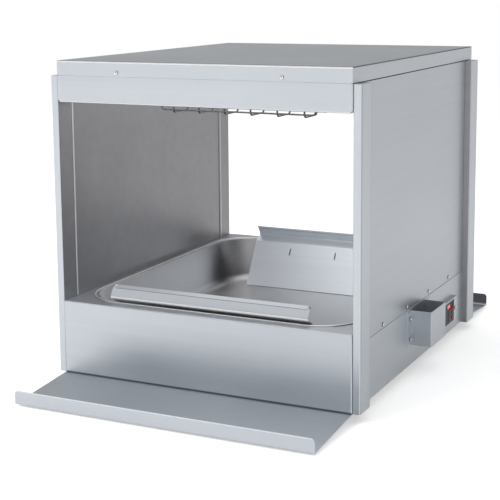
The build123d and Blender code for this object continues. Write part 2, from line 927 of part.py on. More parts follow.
with BuildPart() as control_face:
    with BuildSketch(on_face(face_back)):
        with Locations((control_y, control_z)):
            Rectangle(face_length, face_height)
    extrude(amount=face_thickness)
    fillet(control_face.faces().sort_by(Axis.X)[-1].edges(), radius=face_round)
    with BuildSketch(on_face(face_front)):
        with Locations(lens_middle):
            Rectangle(lens_size[0], lens_size[1])
    extrude(amount=-lens_thickness, mode=Mode.SUBTRACT)
    with BuildSketch(on_face(face_front)):
        with Locations(lens_middle):
            Rectangle(lens_size[0] - 2 * lens_ledge, lens_size[1] - 2 * lens_ledge)
        with Locations(switch_middle):
            Rectangle(switch_size[0] + 2 * face_gap, switch_size[1] + 2 * face_gap)
        with Locations(*button_places):
            Circle(button_radius + button_gap)
    extrude(amount=-face_thickness - cut_over, mode=Mode.SUBTRACT)

with BuildPart() as display_lens:
    with BuildSketch(on_face(face_front)):
        with Locations(lens_middle):
            Rectangle(lens_size[0] - 2 * face_gap, lens_size[1] - 2 * face_gap)
    extrude(amount=-lens_thickness)

with BuildPart() as controller_case:
    # Open at the front, where the control face closes it.
    with BuildSketch(on_face(case_back)):
        with Locations((control_y, control_z)):
            RectangleRounded(case_length, case_height, case_corner)
    extrude(amount=case_depth)
    offset(amount=-case_wall, openings=controller_case.faces().sort_by(Axis.X)[-1])

with BuildPart() as control_board:
    # Behind the display and the buttons, held in the case, with a key switch per button.
    board_y = control_y + case_length / 2 - case_wall
    board_width = board_y - (switch_middle[0] + switch_size[0] / 2 + board_switch_gap)
    board_middle = (board_y - board_width / 2, control_z)
    with BuildSketch(on_face(board_front)):
        with Locations(board_middle):
            Rectangle(board_width - 2 * face_gap, case_height - 2 * case_wall - 2 * face_gap)
    extrude(amount=-board_thickness)
    with BuildSketch(on_face(board_front)):
        with Locations(*button_places):
            Rectangle(key_switch_size, key_switch_size)
    extrude(amount=board_depth - button_gap_behind - button_collar_thickness - face_gap)

with BuildPart() as display_module:
    with BuildSketch(on_face(board_front)):
        with Locations(lens_middle):
            Rectangle(lens_size[0] - 2 * module_inset[0], lens_size[1] - 2 * module_inset[1])
    extrude(amount=module_depth)

# Which of the seven strokes each digit lights: top, upper left, upper right, middle, lower
# left, lower right, bottom.
lit_strokes = {
    "0": "1110111",
    "1": "0010010",
    "2": "1011101",
    "3": "1011011",
    "4": "0111010",
    "5": "1101011",
    "6": "1101111",
    "7": "1010010",
    "8": "1111111",
    "9": "1111011",
}


def stroke_boxes(digit):
    """Middle and size of each lit stroke of a digit, about the digit's own middle."""
    half_w = (digit_width - digit_stroke) / 2
    half_h = (digit_height - digit_stroke) / 2
    bar = (digit_width - 2 * (digit_stroke + stroke_gap), digit_stroke)
    post = (digit_stroke, half_h - digit_stroke - 2 * stroke_gap)
    layout = [
        ((0, half_h), bar),
        ((-half_w, half_h / 2), post),
        ((half_w, half_h / 2), post),
        ((0, 0), bar),
        ((-half_w, -half_h / 2), post),
        ((half_w, -half_h / 2), post),
        ((0, -half_h), bar),
    ]
    return [box for box, lit in zip(layout, lit_strokes[digit]) if lit == "1"]


with BuildPart() as display_digits:
    # Lit strokes standing on the front of the display module.
    with BuildSketch(on_face(board_front + module_depth)):
        for place, digit in enumerate(digit_text):
            y = lens_middle[0] + (place - (len(digit_text) - 1) / 2) * digit_pitch
            for middle, size in stroke_boxes(digit):
                with Locations((y + middle[0], lens_middle[1] + middle[1])):
                    Rectangle(*size)
    extrude(amount=digit_relief)

button_collar_front = face_back - face_gap
with BuildPart() as button_form:
    # Button on its own axis, with its collar behind the control face.
    with BuildSketch(on_face(button_collar_front - button_collar_thickness)):
        Circle(button_radius + button_collar)
    extrude(amount=button_collar_thickness)
    with BuildSketch(on_face(button_collar_front)):
        Circle(button_radius)
    extrude(amount=face_front + button_proud - button_collar_front)
    fillet(button_form.faces().sort_by(Axis.X)[-1].edges(), radius=button_round)

with BuildPart() as push_button_1:
    with Locations((0, *button_places[0])):
        add(button_form.part)

with BuildPart() as push_button_2:
    with Locations((0, *button_places[1])):
        add(button_form.part)

with BuildPart() as push_button_3:
    with Locations((0, *button_places[2])):
        add(button_form.part)

with BuildPart() as push_button_4:
    with Locations((0, *button_places[3])):
        add(button_form.part)

rocker_pivot = face_front - rocker_pivot_depth + switch_bezel_proud
with BuildPart() as switch_body:
    with BuildSketch(on_face(face_front)):
        with Locations(switch_middle):
            Rectangle(switch_size[0] + 2 * switch_bezel, switch_size[1] + 2 * switch_bezel)
    extrude(amount=switch_bezel_proud)
    fillet(switch_body.faces().sort_by(Axis.X)[-1].edges(), radius=switch_bezel_round)
    with BuildSketch(on_face(face_front)):
        with Locations(switch_middle):
            Rectangle(*switch_size)
    extrude(amount=-switch_depth)
    cavity = (rocker_size[0] + 2 * rocker_side_gap, rocker_size[1] + 2 * rocker_end_gap)
    with BuildSketch(on_face(face_front + switch_bezel_proud)):
        with Locations(switch_middle):
            Rectangle(*cavity)
    extrude(amount=-switch_bezel_proud - 2 * rocker_depth, mode=Mode.SUBTRACT)
    bore(
        [facing("+Y", rocker_pivot, *switch_middle)],
        rocker_pin + rocker_pin_gap,
        2 * (rocker_pin_reach + face_gap),
    )

with BuildPart() as switch_rocker:
    # Dished front, tipped in at its upper end, on a pin along Y.
    tilted = Plane(
        origin=(rocker_pivot, *switch_middle),
        x_dir=(cos(radians(rocker_tilt)), 0, sin(radians(rocker_tilt))),
        z_dir=(0, -1, 0),
    )
    half_rocker = rocker_size[1] / 2
    front = rocker_depth - rocker_dish / 2
    with BuildSketch(tilted):
        with BuildLine():
            Line((-rocker_back_depth, -rocker_back_half), (0, -half_rocker))
            Line((0, -half_rocker), (front, -half_rocker))
            ThreePointArc((front, -half_rocker), (front - rocker_dish, 0), (front, half_rocker))
            Line((front, half_rocker), (0, half_rocker))
            Line((0, half_rocker), (-rocker_back_depth, rocker_back_half))
            Line((-rocker_back_depth, rocker_back_half), (-rocker_back_depth, -rocker_back_half))
        make_face()
    extrude(amount=rocker_size[0] / 2, both=True)
    with BuildSketch(tilted):
        Circle(rocker_pin)
    extrude(amount=rocker_pin_reach, both=True)

# ---------------------------------------------------------------- electrical parts in the base

with BuildPart() as heater_relay:
    with Locations((half_width - relay_inset, relay_y, plate_top + relay_size[2] / 2)):
        Box(*relay_size)
    fillet(heater_relay.edges().group_by(Axis.Z)[-1], radius=relay_round)

with BuildPart() as terminal_block:
    terminal_rows(terminal_size, half_width - terminal_inset, terminal_y, plate_top, "Y")

with BuildPart() as cable_gland:
    with BuildSketch(on_face(-cover_outer)):
        with Locations((gland_y, gland_z)):
            RegularPolygon(gland_flange, 6)
    extrude(amount=-gland_nut_thickness)
    with BuildSketch(on_face(-cover_outer)):
        with Locations((gland_y, gland_z)):
            Circle(gland_thread)
    extrude(amount=-gland_body)
    with BuildSketch(on_face(-cover_outer - gland_body)):
        with Locations((gland_y, gland_z)):
            Circle(gland_cap)
    extrude(amount=gland_body - gland_dome)
    fillet(cable_gland.edges().group_by(Axis.X)[0], radius=gland_cap_round)
    with BuildSketch(on_face(-cover_outer)):
        with Locations((gland_y, gland_z)):
            Circle(gland_thread)
    extrude(amount=gland_nut_thickness + 4 * sheet)
    bore([facing("+X", -cover_outer, gland_y, gland_z)], gland_bore, 4 * gland_dome)

with BuildPart() as gland_nut:
    with BuildSketch(on_face(-half_width)):
        with Locations((gland_y, gland_z)):
            RegularPolygon(gland_flange, 6)
            Circle(gland_thread + screw_clearance, mode=Mode.SUBTRACT)
    extrude(amount=gland_nut_thickness)

pieces = {
    "base_shell": base_shell,
    "bottom_plate": bottom_plate,
    "rubber_feet": rubber_feet,
    "foot_screws": foot_screws,
    "post_front_right": post_front_right,
    "post_front_left": post_front_left,
    "post_rear_right": post_rear_right,
    "post_rear_left": post_rear_left,
    "side_wall_right": side_wall_right,
    "side_wall_left": side_wall_left,
    "side_wall_screws": side_wall_screws,
    "lower_cover_right": lower_cover_right,
    "lower_cover_left": lower_cover_left,
    "hood_cap": hood_cap,
    "hood_front_band": hood_front_band,
    "hood_rear_band": hood_rear_band,
    "hood_floor": hood_floor,
    "cap_screws": cap_screws,
    "reflector_front": reflector_front,
    "reflector_rear": reflector_rear,
    "heating_element_front": heating_element_front,
    "heating_element_rear": heating_element_rear,
    "element_insulators": element_insulators,
    "wire_guard_front": wire_guard_front,
    "wire_guard_rear": wire_guard_rear,
    "hood_insulation": hood_insulation,
    "hood_terminal_block": hood_terminal_block,
    "pan": pan,
    "heat_plate": heat_plate,
    "heater_blanket": heater_blanket,
    "bed_insulation": bed_insulation,
    "heater_tray": heater_tray,
    "tray_supports": tray_supports,
    "pan_thermostat": pan_thermostat,
    "front_ramp": front_ramp,
    "rear_ramp": rear_ramp,
    "front_shelf": front_shelf,
    "rear_shelf": rear_shelf,
    "shelf_screws": shelf_screws,
    "side_pocket": side_pocket,
    "pocket_screws": pocket_screws,
    "control_housing": control_housing,
    "housing_standoffs": housing_standoffs,
    "housing_screws": housing_screws,
    "control_face": control_face,
    "display_lens": display_lens,
    "display_module": display_module,
    "display_digits": display_digits,
    "controller_case": controller_case,
    "control_board": control_board,
    "push_button_1": push_button_1,
    "push_button_2": push_button_2,
    "push_button_3": push_button_3,
    "push_button_4": push_button_4,
    "switch_body": switch_body,
    "switch_rocker": switch_rocker,
    "heater_relay": heater_relay,
    "terminal_block": terminal_block,
    "cable_gland": cable_gland,
    "gland_nut": gland_nut,
}

os.makedirs("parts", exist_ok=True)
for node, piece in pieces.items():
    piece.part.label = node
    export_step(piece.part, f"parts/{node}.step")
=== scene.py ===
import math

import bmesh
import bpy
from bpy.props import FloatProperty, FloatVectorProperty, IntProperty, PointerProperty
from mathutils import Matrix, Vector


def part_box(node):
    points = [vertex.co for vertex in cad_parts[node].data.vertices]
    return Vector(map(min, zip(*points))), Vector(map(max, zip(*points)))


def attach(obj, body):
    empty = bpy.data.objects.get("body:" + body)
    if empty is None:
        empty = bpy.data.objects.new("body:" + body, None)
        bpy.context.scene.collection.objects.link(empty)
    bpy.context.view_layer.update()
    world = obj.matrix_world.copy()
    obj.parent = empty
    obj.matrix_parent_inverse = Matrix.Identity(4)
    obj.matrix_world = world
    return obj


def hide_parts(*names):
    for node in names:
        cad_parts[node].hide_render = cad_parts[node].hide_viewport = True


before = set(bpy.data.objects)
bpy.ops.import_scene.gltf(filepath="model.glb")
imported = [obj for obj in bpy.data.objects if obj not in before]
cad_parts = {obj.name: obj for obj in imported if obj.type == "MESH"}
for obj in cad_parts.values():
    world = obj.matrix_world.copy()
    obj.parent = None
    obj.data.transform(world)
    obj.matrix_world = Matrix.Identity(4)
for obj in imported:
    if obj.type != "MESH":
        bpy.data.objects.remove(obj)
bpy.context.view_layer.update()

bl_info = {
    "name": "Chip Warmer",
    "version": (1, 0, 0),
    "blender": (4, 5, 0),
    "location": "View3D > Sidebar > Chip Warmer",
    "description": "Finishes a pass-through chip warmer: steel skins, pan, ramps, wire guards, "
    "screws and controller",
    "category": "Object",
}

MM = 0.001
# Half the width of the soft step at the edge of a mask.
SOFT_STEP = 0.1 * MM

# Sheet pieces that share a finish.
GRAIN_ALONG_X = ["base_shell", "front_shelf", "rear_shelf"]
LOWER_COVERS = ["lower_cover_right", "lower_cover_left"]
SIDE_BOXES = ["side_pocket", "control_housing"]
SIDE_WALLS = ["side_wall_right", "side_wall_left"]
HOOD_SHEETS = ["hood_cap", "hood_front_band", "hood_rear_band"]
POSTS = ["post_front_right", "post_front_left", "post_rear_right", "post_rear_left"]
MILL_SHEETS = ["bottom_plate", "hood_floor", "heater_tray", "tray_supports", "housing_standoffs"]
# What the steel sees of the room: place from straight down (0) to straight up (1), and level.
ROOM_BANDS = (
    (0.0, 1.0),
    (0.5, 1.0),
    (0.56, 0.50),
    (0.64, 0.42),
    (0.8, 0.66),
    (0.88, 0.80),
    (0.95, 1.25),
    (1.0, 1.4),
)
# Each group of screws, with the axis that its heads face along: outwards on X and Y, down on Z.
SCREW_ROWS = {
    "side_wall_screws": "X",
    "pocket_screws": "X",
    "housing_screws": "X",
    "cap_screws": "Y",
    "shelf_screws": "Z",
    "foot_screws": "Z",
}
# Rows of points up a ramp's flange: the share of the way to the crease, and then -1 below the
# crease, 0 on it, and 1 to 2 from the near edge of the turned strip to its far edge.
FLANGE_ROWS = (
    (0.35, -1.0),
    (0.7, -1.0),
    (1.0, -1.0),
    (1.0, 0.0),
    (1.0, 1.0),
    (1.0, 1.4),
    (1.0, 1.75),
    (1.0, 2.0),
)
# Columns of points across a ramp's sheet: distances in from its end, in millimetres, and, nearer
# the middle, shares of its half width.
END_COLUMNS = (0.0, 0.15, 0.6, 1.3, 2.2, 3.2, 4.4, 5.7, 7.0, 9.0)
MIDDLE_COLUMNS = (0.6, 0.3, 0.0)
# Painted highlight colour for folds and bends that catch the light.
EDGE_HIGHLIGHT_STEEL = (0.94, 0.94, 0.95)


# ---------------------------------------------------------------- settings


def number_setting(name, description, default, **kind):
    """A number, with its unit or its limits."""
    return FloatProperty(name=name, description=description, default=default, **kind)


def length_setting(name, description, default):
    """A length, with its default in millimetres."""
    return number_setting(name, description, default * MM, subtype="DISTANCE", unit="LENGTH")


def angle_setting(name, description, default):
    """An angle, with its default in degrees."""
    radians = math.radians(default)
    return number_setting(name, description, radians, subtype="ANGLE", unit="ROTATION")


def power_setting(name, description, default):
    """A lamp's power, with its default in watts."""
    return number_setting(name, description, default, unit="POWER", min=0.0)


def color_setting(name, description, default):
    """A colour."""
    return FloatVectorProperty(
        name=name,
        description=description,
        subtype="COLOR",
        size=3,
        min=0.0,
        max=1.0,
        default=default,
    )


class SkinSettings(bpy.types.PropertyGroup):
    """Finish of the stainless sheets."""

    color: color_setting(
        "Steel colour", "Colour of the brushed stainless sheet", (0.625, 0.66, 0.70)
    )
    roughness: number_setting(
        "Roughness", "How dull the brushed finish is", 0.38, subtype="FACTOR", min=0.05, max=1.0
    )
    # Painted shade: the darker colour laid on the faces that look on to the pan, the posts' steps
    # and the rear lip's inside.
    inner_shade_color: color_setting(
        "Inner colour", "Colour of the duller faces that look on to the pan", (0.355, 0.35, 0.362)
    )
    # Painted highlight: the bright colour laid along the hems' edges.
    hem_highlight_color: color_setting(
        "Hem colour", "Colour of the bright hems of the walls", (0.80, 0.81, 0.82)
    )
    grain_width: length_setting("Grain width", "Width of one brushed line", 0.9)
    grain_length: length_setting("Grain length", "Length of one brushed line", 120)


class PanSettings(bpy.types.PropertyGroup):
    """Sizes and colours of the drawn pan."""

    corner: length_setting("Corner", "Corner radius at the outside of the rim", 90)
    rim_lap: length_setting("Rim lap", "Width of the rim from its outside to the wall", 7.5)
    bead_width: length_setting("Bead width", "Width of the raised bead at the rim's edge", 4)
    bead_height: length_setting("Bead height", "Height of the bead above the deck", 2.4)
    sheet: length_setting("Sheet", "Thickness of the drawn sheet", 1)
    draft: angle_setting("Draft", "Lean of the pan's walls", 8)
    floor_round: length_setting("Floor round", "Radius where the walls meet the floor", 20)
    color: color_setting("Pan colour", "Colour of the satin drawn steel", (0.60, 0.60, 0.61))
    # Painted highlight colour along the bead.
    rim_color: color_setting(
        "Bead colour", "Colour of the bead where it is rubbed bright", (0.95, 0.95, 0.95)
    )


class RampSettings(bpy.types.PropertyGroup):
    """Sizes of the two folded ramps."""

    flange: length_setting("Flange", "Height of the flange along its slope", 19.5)
    flange_lean: angle_setting("Flange lean", "Slope of the flange above level", 58)
    curl: length_setting("Curl", "Width of the strip turned over along the top", 8.8)
    curl_lean: angle_setting("Curl lean", "Slope of the turned strip above level", 37)
    mitre: length_setting("Mitre", "Length at each end over which the turned strip runs out", 6)
    corner: length_setting("Corner", "Radius of the flange's top corners", 7)
    throat_reach: length_setting(
        "Throat reach", "How far the brow runs in before the chute turns down", 23
    )
    throat_drop: length_setting("Throat drop", "How far the brow falls over that reach", 13.3)
    sheet: length_setting("Sheet", "Thickness of the folded sheet", 1.2)
    slot_pitch: length_setting("Slot pitch", "Distance between the divider slots", 114)
    slot_length: length_setting("Slot length", "Height of a divider slot", 15)
    slot_width: length_setting("Slot width", "Width of a divider slot", 2.5)
    slot_top: length_setting("Slot top", "Height of the slots' upper ends", 149)


class GuardSettings(bpy.types.PropertyGroup):
    """Sizes of the welded wire guards."""

    rod: length_setting("Rod", "Diameter of the guard's wire", 3.6)
    bend: length_setting("Bend", "Radius of the wire's bends", 7)
    rail_rise: length_setting("Rail rise", "Height of the rails above the bottom of the wires", 5.5)
    count: IntProperty(
        name="Wires", description="Number of U-shaped wires in a guard", min=2, default=6
    )
    pitch: length_setting("Pitch", "Distance between the U-shaped wires", 56)
    weld: length_setting("Weld", "Size of the weld where a wire meets a rail", 1.5)


class ScrewSettings(bpy.types.PropertyGroup):
    """Sizes of the truss head screws."""

    head: length_setting("Head", "Diameter of a screw's head", 8.4)
    height: length_setting("Height", "Height of a screw's head", 2.3)
    seed: IntProperty(
        name="Seed", description="Seed for how far each screw is turned", default=7
    )


class ControlSettings(bpy.types.PropertyGroup):
    """Look of the controller."""

    lit_color: color_setting("Display colour", "Colour of the lit digits", (1.0, 0.42, 0.34))
    lit_strength: number_setting(
        "Display strength", "Brightness of the lit digits", 12.0, min=0.0
    )
    mark_color: color_setting(
        "Mark colour", "Colour of the marks on the buttons", (0.42, 0.03, 0.035)
    )


class StageSettings(bpy.types.PropertyGroup):
    """Camera, light and floor."""

    camera_place: FloatVectorProperty(
        name="Camera",
        description="Where the camera stands",
        subtype="XYZ",
        unit="LENGTH",
        size=3,
        default=(1.0625, -2.3314, 0.7692),
    )
    yaw: angle_setting("Yaw", "Turn of the camera to the left", 25.9)
    pitch: angle_setting("Pitch", "Tilt of the camera downwards", 8.732)
    roll: angle_setting("Roll", "Roll of the camera", -0.486)
    lens: number_setting("Lens", "Focal length in millimetres", 89.93)
    shift: number_setting("Shift", "Vertical shift of the lens", -0.15)
    room_light: number_setting(
        "Room light", "Strength of the soft light from all round", 0.72, min=0.0
    )
    key_watts: power_setting("Key light", "Power of the large light at the front left", 105.0)
    fill_watts: power_setting("Fill light", "Power of the light at the right", 6.0)
    glow_watts: power_setting("Glow", "Power of the faint light under the hood", 1.1)
    top_watts: power_setting("Top light", "Power of the light overhead", 8.0)


class WarmerSettings(bpy.types.PropertyGroup):
    """All sizes and colours of the chip warmer."""

    skin: PointerProperty(type=SkinSettings)
    pan: PointerProperty(type=PanSettings)
    ramp: PointerProperty(type=RampSettings)
    guard: PointerProperty(type=GuardSettings)
    screw: PointerProperty(type=ScrewSettings)
    control: PointerProperty(type=ControlSettings)
    stage: PointerProperty(type=StageSettings)


# ---------------------------------------------------------------- node helpers


class Tree:
    """A node tree that is being put together, with short ways to add and join nodes."""

    def __init__(self, tree):
        self.tree = tree

    def add(self, kind, settings=None, **values):
        """A new node; values are its inputs by name, as numbers or as sockets to join."""
        node = self.tree.nodes.new(kind)
        for key, value in (settings or {}).items():
            setattr(node, key, value)
        for key, value in values.items():
            self.feed(node.inputs[key.replace("_", " ")], value)
        return node

    def feed(self, socket, value):
        """Joins a socket to an input, or sets the input's value."""
        if isinstance(value, bpy.types.NodeSocket):
            self.tree.links.new(value, socket)
        else:
            socket.default_value = value

    def sum(self, first, second, how="ADD"):
        """Two values added, or joined in another way."""
        node = self.add("ShaderNodeMath", {"operation": how})
        self.feed(node.inputs[0], first)
        self.feed(node.inputs[1], second)
        return node.outputs["Value"]

    def both(self, first, second):
        """Two values multiplied: of two masks, the places that are in both."""
        return self.sum(first, second, "MULTIPLY")

    def spread(self, value, low, high, start=0.3, end=0.7):
        """A value that runs from start to end, laid out between two numbers."""
        return self.add(
            "ShaderNodeMapRange",
            Value=value,
            From_Min=start,
            From_Max=end,
            To_Min=low,
            To_Max=high,
        ).outputs["Result"]

    def split(self, vector):
        """The three parts of a vector."""
        parts = self.add("ShaderNodeSeparateXYZ", Vector=vector).outputs
        return parts["X"], parts["Y"], parts["Z"]

    def vector(self, **parts):
        """A vector put together from its parts."""
        return self.add("ShaderNodeCombineXYZ", **parts).outputs["Vector"]


class Finish(Tree):
    """A material with a Principled shader and patterns in object coordinates."""

    def __init__(self, name):
        self.material = bpy.data.materials.new(name)
        self.material.use_nodes = True
        super().__init__(self.material.node_tree)
        self.shader = self.tree.nodes["Principled BSDF"]
        self.place = self.add("ShaderNodeTexCoord").outputs["Object"]
        self.metallic = 1.0

    def noise(self, lines, detail=2.0, rough=0.5):
        """Noise with so many lines to the metre, along each axis or along them all."""
        scale = lines if isinstance(lines, tuple) else (lines,) * 3
        stretched = self.add("ShaderNodeMapping", Vector=self.place, Scale=scale)
        made = self.add(
            "ShaderNodeTexNoise",
            Vector=stretched.outputs["Vector"],
            Scale=1.0,
            Detail=detail,
            Roughness=rough,
        )
        return made.outputs["Fac"]

    def shades(self, value, dark, light, start=0.3, end=0.7):
        """Two colours laid over a pattern."""
        node = self.add("ShaderNodeValToRGB", Fac=value)
        for element, place, color in zip(node.color_ramp.elements, (start, end), (dark, light)):
            element.position = place
            element.color = (*color[:3], 1.0)
        return node.outputs["Color"]

    def tones(self, value, color, dark, light, start=0.3, end=0.7):
        """A darker and a lighter tone of one colour laid over a pattern."""
        return self.shades(value, shade(color, dark), shade(color, light), start, end)

    def blend(self, factor, first, second):
        """A colour between two, by a factor."""
        node = self.add("ShaderNodeMix", {"data_type": "RGBA"})
        self.feed(node.inputs["Factor"], factor)
        colors = [socket for socket in node.inputs if socket.type == "RGBA"]
        self.feed(colors[0], first)
        self.feed(colors[1], second)
        return next(socket for socket in node.outputs if socket.type == "RGBA")

    def marked(self, name):
        """The value that a mesh carries at its points under a name."""
        return self.add("ShaderNodeAttribute", {"attribute_name": name}).outputs["Fac"]

    def above(self, value, limit):
        """One where a value is over a limit, with a soft step a fifth of a millimetre wide."""
        return self.spread(value, 0.0, 1.0, limit - SOFT_STEP, limit + SOFT_STEP)

    def below(self, value, limit):
        """One where a value is under a limit, with the same soft step."""
        return self.spread(value, 1.0, 0.0, limit - SOFT_STEP, limit + SOFT_STEP)

    def between(self, value, low, high):
        """One where a value is over one limit and under another."""
        return self.both(self.above(value, low), self.below(value, high))

    def reaches(self):
        """Distance from the middle across and along, and height, of a point on a piece."""
        x, y, z = self.split(self.place)
        return self.sum(x, 0.0, "ABSOLUTE"), self.sum(y, 0.0, "ABSOLUTE"), z

    def flecked(self, color):
        """A colour with a faint fleck."""
        return self.tones(self.noise(40.0), color, 0.96, 1.03)

    def recolor(self, mask, tint, color):
        """A tint with a flecked colour where a mask is one."""
        return self.blend(mask, tint, self.flecked(color))

    def relief(self, height, strength, depth):
        """Small relief in the surface, from a pattern."""
        bump = self.add("ShaderNodeBump", Height=height, Strength=strength, Distance=depth)
        self.feed(self.shader.inputs["Normal"], bump.outputs["Normal"])

    def set(self, **values):
        """Sets inputs of the shader, by name."""
        for key, value in values.items():
            self.feed(self.shader.inputs[key.replace("_", " ")], value)
        return self.material


def shade(color, factor):
    """A colour made lighter or darker."""
    return tuple(min(1.0, c * factor) for c in color)


def across(axis, along, over):
    """Scale of a pattern whose lines run along one axis."""
    return tuple(1 / along if axis == name else 1 / over for name in "XYZ")


# ---------------------------------------------------------------- finishes


def brushed_steel(name, axis, skin, tone=1.0, details=None):
    """Fine brushed stainless, with its lines along an axis; details recolour some of its faces."""
    finish = Finish(name)
    length, width, rough = skin.grain_length, skin.grain_width, skin.roughness
    fine = finish.noise(across(axis, length, width), 3.0, 0.6)
    streak = finish.noise(across(axis, 4 * length, 9 * width))
    cloud = finish.noise(5.0, 3.0, 0.55)
    steel = finish.sum(finish.sum(fine, streak), cloud)
    laid_out = finish.spread(steel, 0.0, 1.0, 1.1, 1.9)
    tint = finish.tones(laid_out, skin.color, 0.97 * tone, 1.03 * tone, 0.0, 1.0)
    if details:
        tint = details(finish, tint, skin)
    finish.relief(finish.sum(fine, streak), 0.07, 0.00008)
    dull = finish.spread(finish.sum(fine, cloud), rough - 0.06, rough + 0.06, 0.7, 1.3)
    return finish.set(Base_Color=tint, Metallic=finish.metallic, Roughness=dull)


def inner_faces(finish, tint, skin):
    """Painted shade on the faces towards the pan, and a painted highlight along the edges of the
    hems that stand in from them.
    """
    half_sheet, cap_lap, hem = 0.6 * MM, 0.15 * MM, 2.8 * MM
    wall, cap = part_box("side_wall_right")[1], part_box("hood_cap")[1]
    out_x, out_y, _ = finish.reaches()
    # Painted shade on the faces that look on to the pan.
    outside = finish.above(out_x, wall.x - half_sheet)
    tint = finish.blend(outside, finish.flecked(skin.inner_shade_color), tint)
    # Painted highlight along the hems' edges.
    hem_highlight_mask = finish.both(finish.below(out_x, cap.x - cap_lap), finish.above(out_y, wall.y - hem))
    return finish.recolor(hem_highlight_mask, tint, skin.hem_highlight_color)


def post_faces(finish, tint, skin):
    """Painted shade on the faces towards the pan and beside the wall, painted shade lines on the
    side at the corner and the joint, and a painted highlight along the front edge.
    """
    half_sheet, step_depth, face = 0.6 * MM, 0.4 * MM, 0.25 * MM
    corner_line, joint_line, edge_line = 4.5 * MM, 3.0 * MM, 2.0 * MM
    inner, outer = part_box("post_rear_right")
    out_x, out_y, _ = finish.reaches()
    # Painted shade on the faces that look on to the pan.
    outside = finish.above(out_x, inner.x + half_sheet)
    tint = finish.blend(outside, finish.flecked(skin.inner_shade_color), tint)
    # Painted shade on the step beside the wall.
    step = finish.below(out_y, inner.y + step_depth)
    tint = finish.recolor(step, tint, shade(skin.inner_shade_color, 1.15))
    # Painted shade lines along the corner and the joint on the side face.
    side = finish.above(out_x, outer.x - face)
    corner = finish.both(side, finish.above(out_y, outer.y - corner_line))
    joint = finish.both(side, finish.below(out_y, inner.y + joint_line))
    tint = finish.recolor(finish.sum(corner, joint), tint, shade(skin.color, 0.72))
    # Painted highlight along the front edge.
    front = finish.above(out_y, outer.y - face)
    edge_highlight = finish.both(front, finish.above(out_x, outer.x - edge_line))
    return finish.recolor(edge_highlight, tint, shade(skin.color, 1.12))


def lip_faces(finish, tint, skin):
    """A painted shade line along the aprons' feet, a painted highlight along the lips' tops, and
    painted shade on the inside of the rear lip.
    """
    apron_face, foot_line, lip_depth, crown_line = 0.8 * MM, 2.4 * MM, 2.0 * MM, 1.8 * MM
    inside_from, inside_to, tray_top = 1.9 * MM, 0.7 * MM, 8 * MM
    apron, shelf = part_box("base_shell"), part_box("rear_shelf")
    _, out_y, height = finish.reaches()
    face = finish.between(out_y, apron[1].y - apron_face, apron[1].y + apron_face)
    # Painted shade line along the apron's foot.
    foot = finish.both(face, finish.below(height, apron[0].z + foot_line))
    tint = finish.recolor(foot, tint, shade(skin.color, 0.3))
    # Painted highlight along the lip's top.
    lip = finish.above(out_y, shelf[1].y - lip_depth)
    crown = finish.both(lip, finish.above(height, shelf[1].z - crown_line))
    tint = finish.recolor(crown, tint, shade(skin.color, 1.3))
    # Painted shade on the inside of the rear lip.
    _, along, _ = finish.split(finish.place)
    inside = finish.between(along, shelf[1].y - inside_from, shelf[1].y - inside_to)
    upright = finish.both(inside, finish.above(height, tray_top))
    return finish.recolor(upright, tint, shade(skin.inner_shade_color, 0.6))


def pocket_front(finish, tint, skin):
    """Painted shade on the pocket's front wall."""
    front_edge, flange = -42.6 * MM, 2.2 * MM
    out, along, _ = finish.split(finish.place)
    front = finish.below(along, front_edge)
    proud = finish.above(out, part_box("side_pocket")[0].x + flange)
    # The front wall gets a darker tone: painted shade.
    return finish.recolor(finish.both(front, proud), tint, shade(skin.color, 0.84))


def hood_folds(finish, tint, skin):
    """A painted shade border round the cap's top, with painted highlights along the folds at its
    front and under the bands.
    """
    top_face, fold, front_face, hem_line = 0.55 * MM, 3.0 * MM, 0.8 * MM, 1.8 * MM
    front_border, side_border, side_drop = 7.0 * MM, 4.0 * MM, 1.6 * MM
    cap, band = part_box("hood_cap")[1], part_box("hood_front_band")[0]
    out_x, out_y, height = finish.reaches()
    level = finish.above(height, cap.z - top_face)
    front = finish.above(out_y, cap.y - front_face)
    upper = finish.sum(finish.above(height, cap.z - fold), level, "SUBTRACT")
    # Painted highlight along the cap's front fold and the bands' lower edges.
    highlit = finish.sum(finish.both(upper, front), finish.below(height, band.z + hem_line))
    near = finish.sum(
        finish.above(out_y, cap.y - front_border),
        finish.above(out_x, cap.x - side_border),
        "MAXIMUM",
    )
    side = finish.both(
        finish.above(height, cap.z - side_drop), finish.above(out_x, cap.x - front_face)
    )
    # Painted shade along the cap's top border and the top of its sides.
    shade_border = finish.sum(finish.both(near, level), side, "MAXIMUM")
    tint = finish.recolor(shade_border, tint, (0.22, 0.23, 0.24))
    return finish.recolor(highlit, tint, EDGE_HIGHLIGHT_STEEL)


def ramp_lines(finish, tint, skin):
    """A painted shade line along the ramp's crease, a painted highlight along its fold, and a satin
    underside."""
    # Painted shade along the crease.
    tint = finish.recolor(finish.marked("crease_shade"), tint, shade(skin.color, 0.25))
    # Painted highlight along the fold.
    tint = finish.recolor(finish.marked("highlit"), tint, EDGE_HIGHLIGHT_STEEL)
    finish.metallic = finish.spread(finish.marked("under"), 0.8, 0.15)
    return tint


def mill_steel(name, color, rough):
    """Plain rolled steel with a soft mottle."""
    finish = Finish(name)
    mottle = finish.noise(60.0, 4.0, 0.6)
    rolled = finish.noise((6.0, 400.0, 400.0))
    mixed = finish.sum(mottle, rolled)
    laid_out = finish.spread(mixed, 0.0, 1.0, 0.7, 1.3)
    finish.relief(mixed, 0.1, 0.0001)
    return finish.set(
        Base_Color=finish.tones(laid_out, color, 0.9, 1.08, 0.0, 1.0),
        Metallic=1.0,
        Roughness=finish.spread(mixed, rough - 0.07, rough + 0.07, 0.7, 1.3),
    )


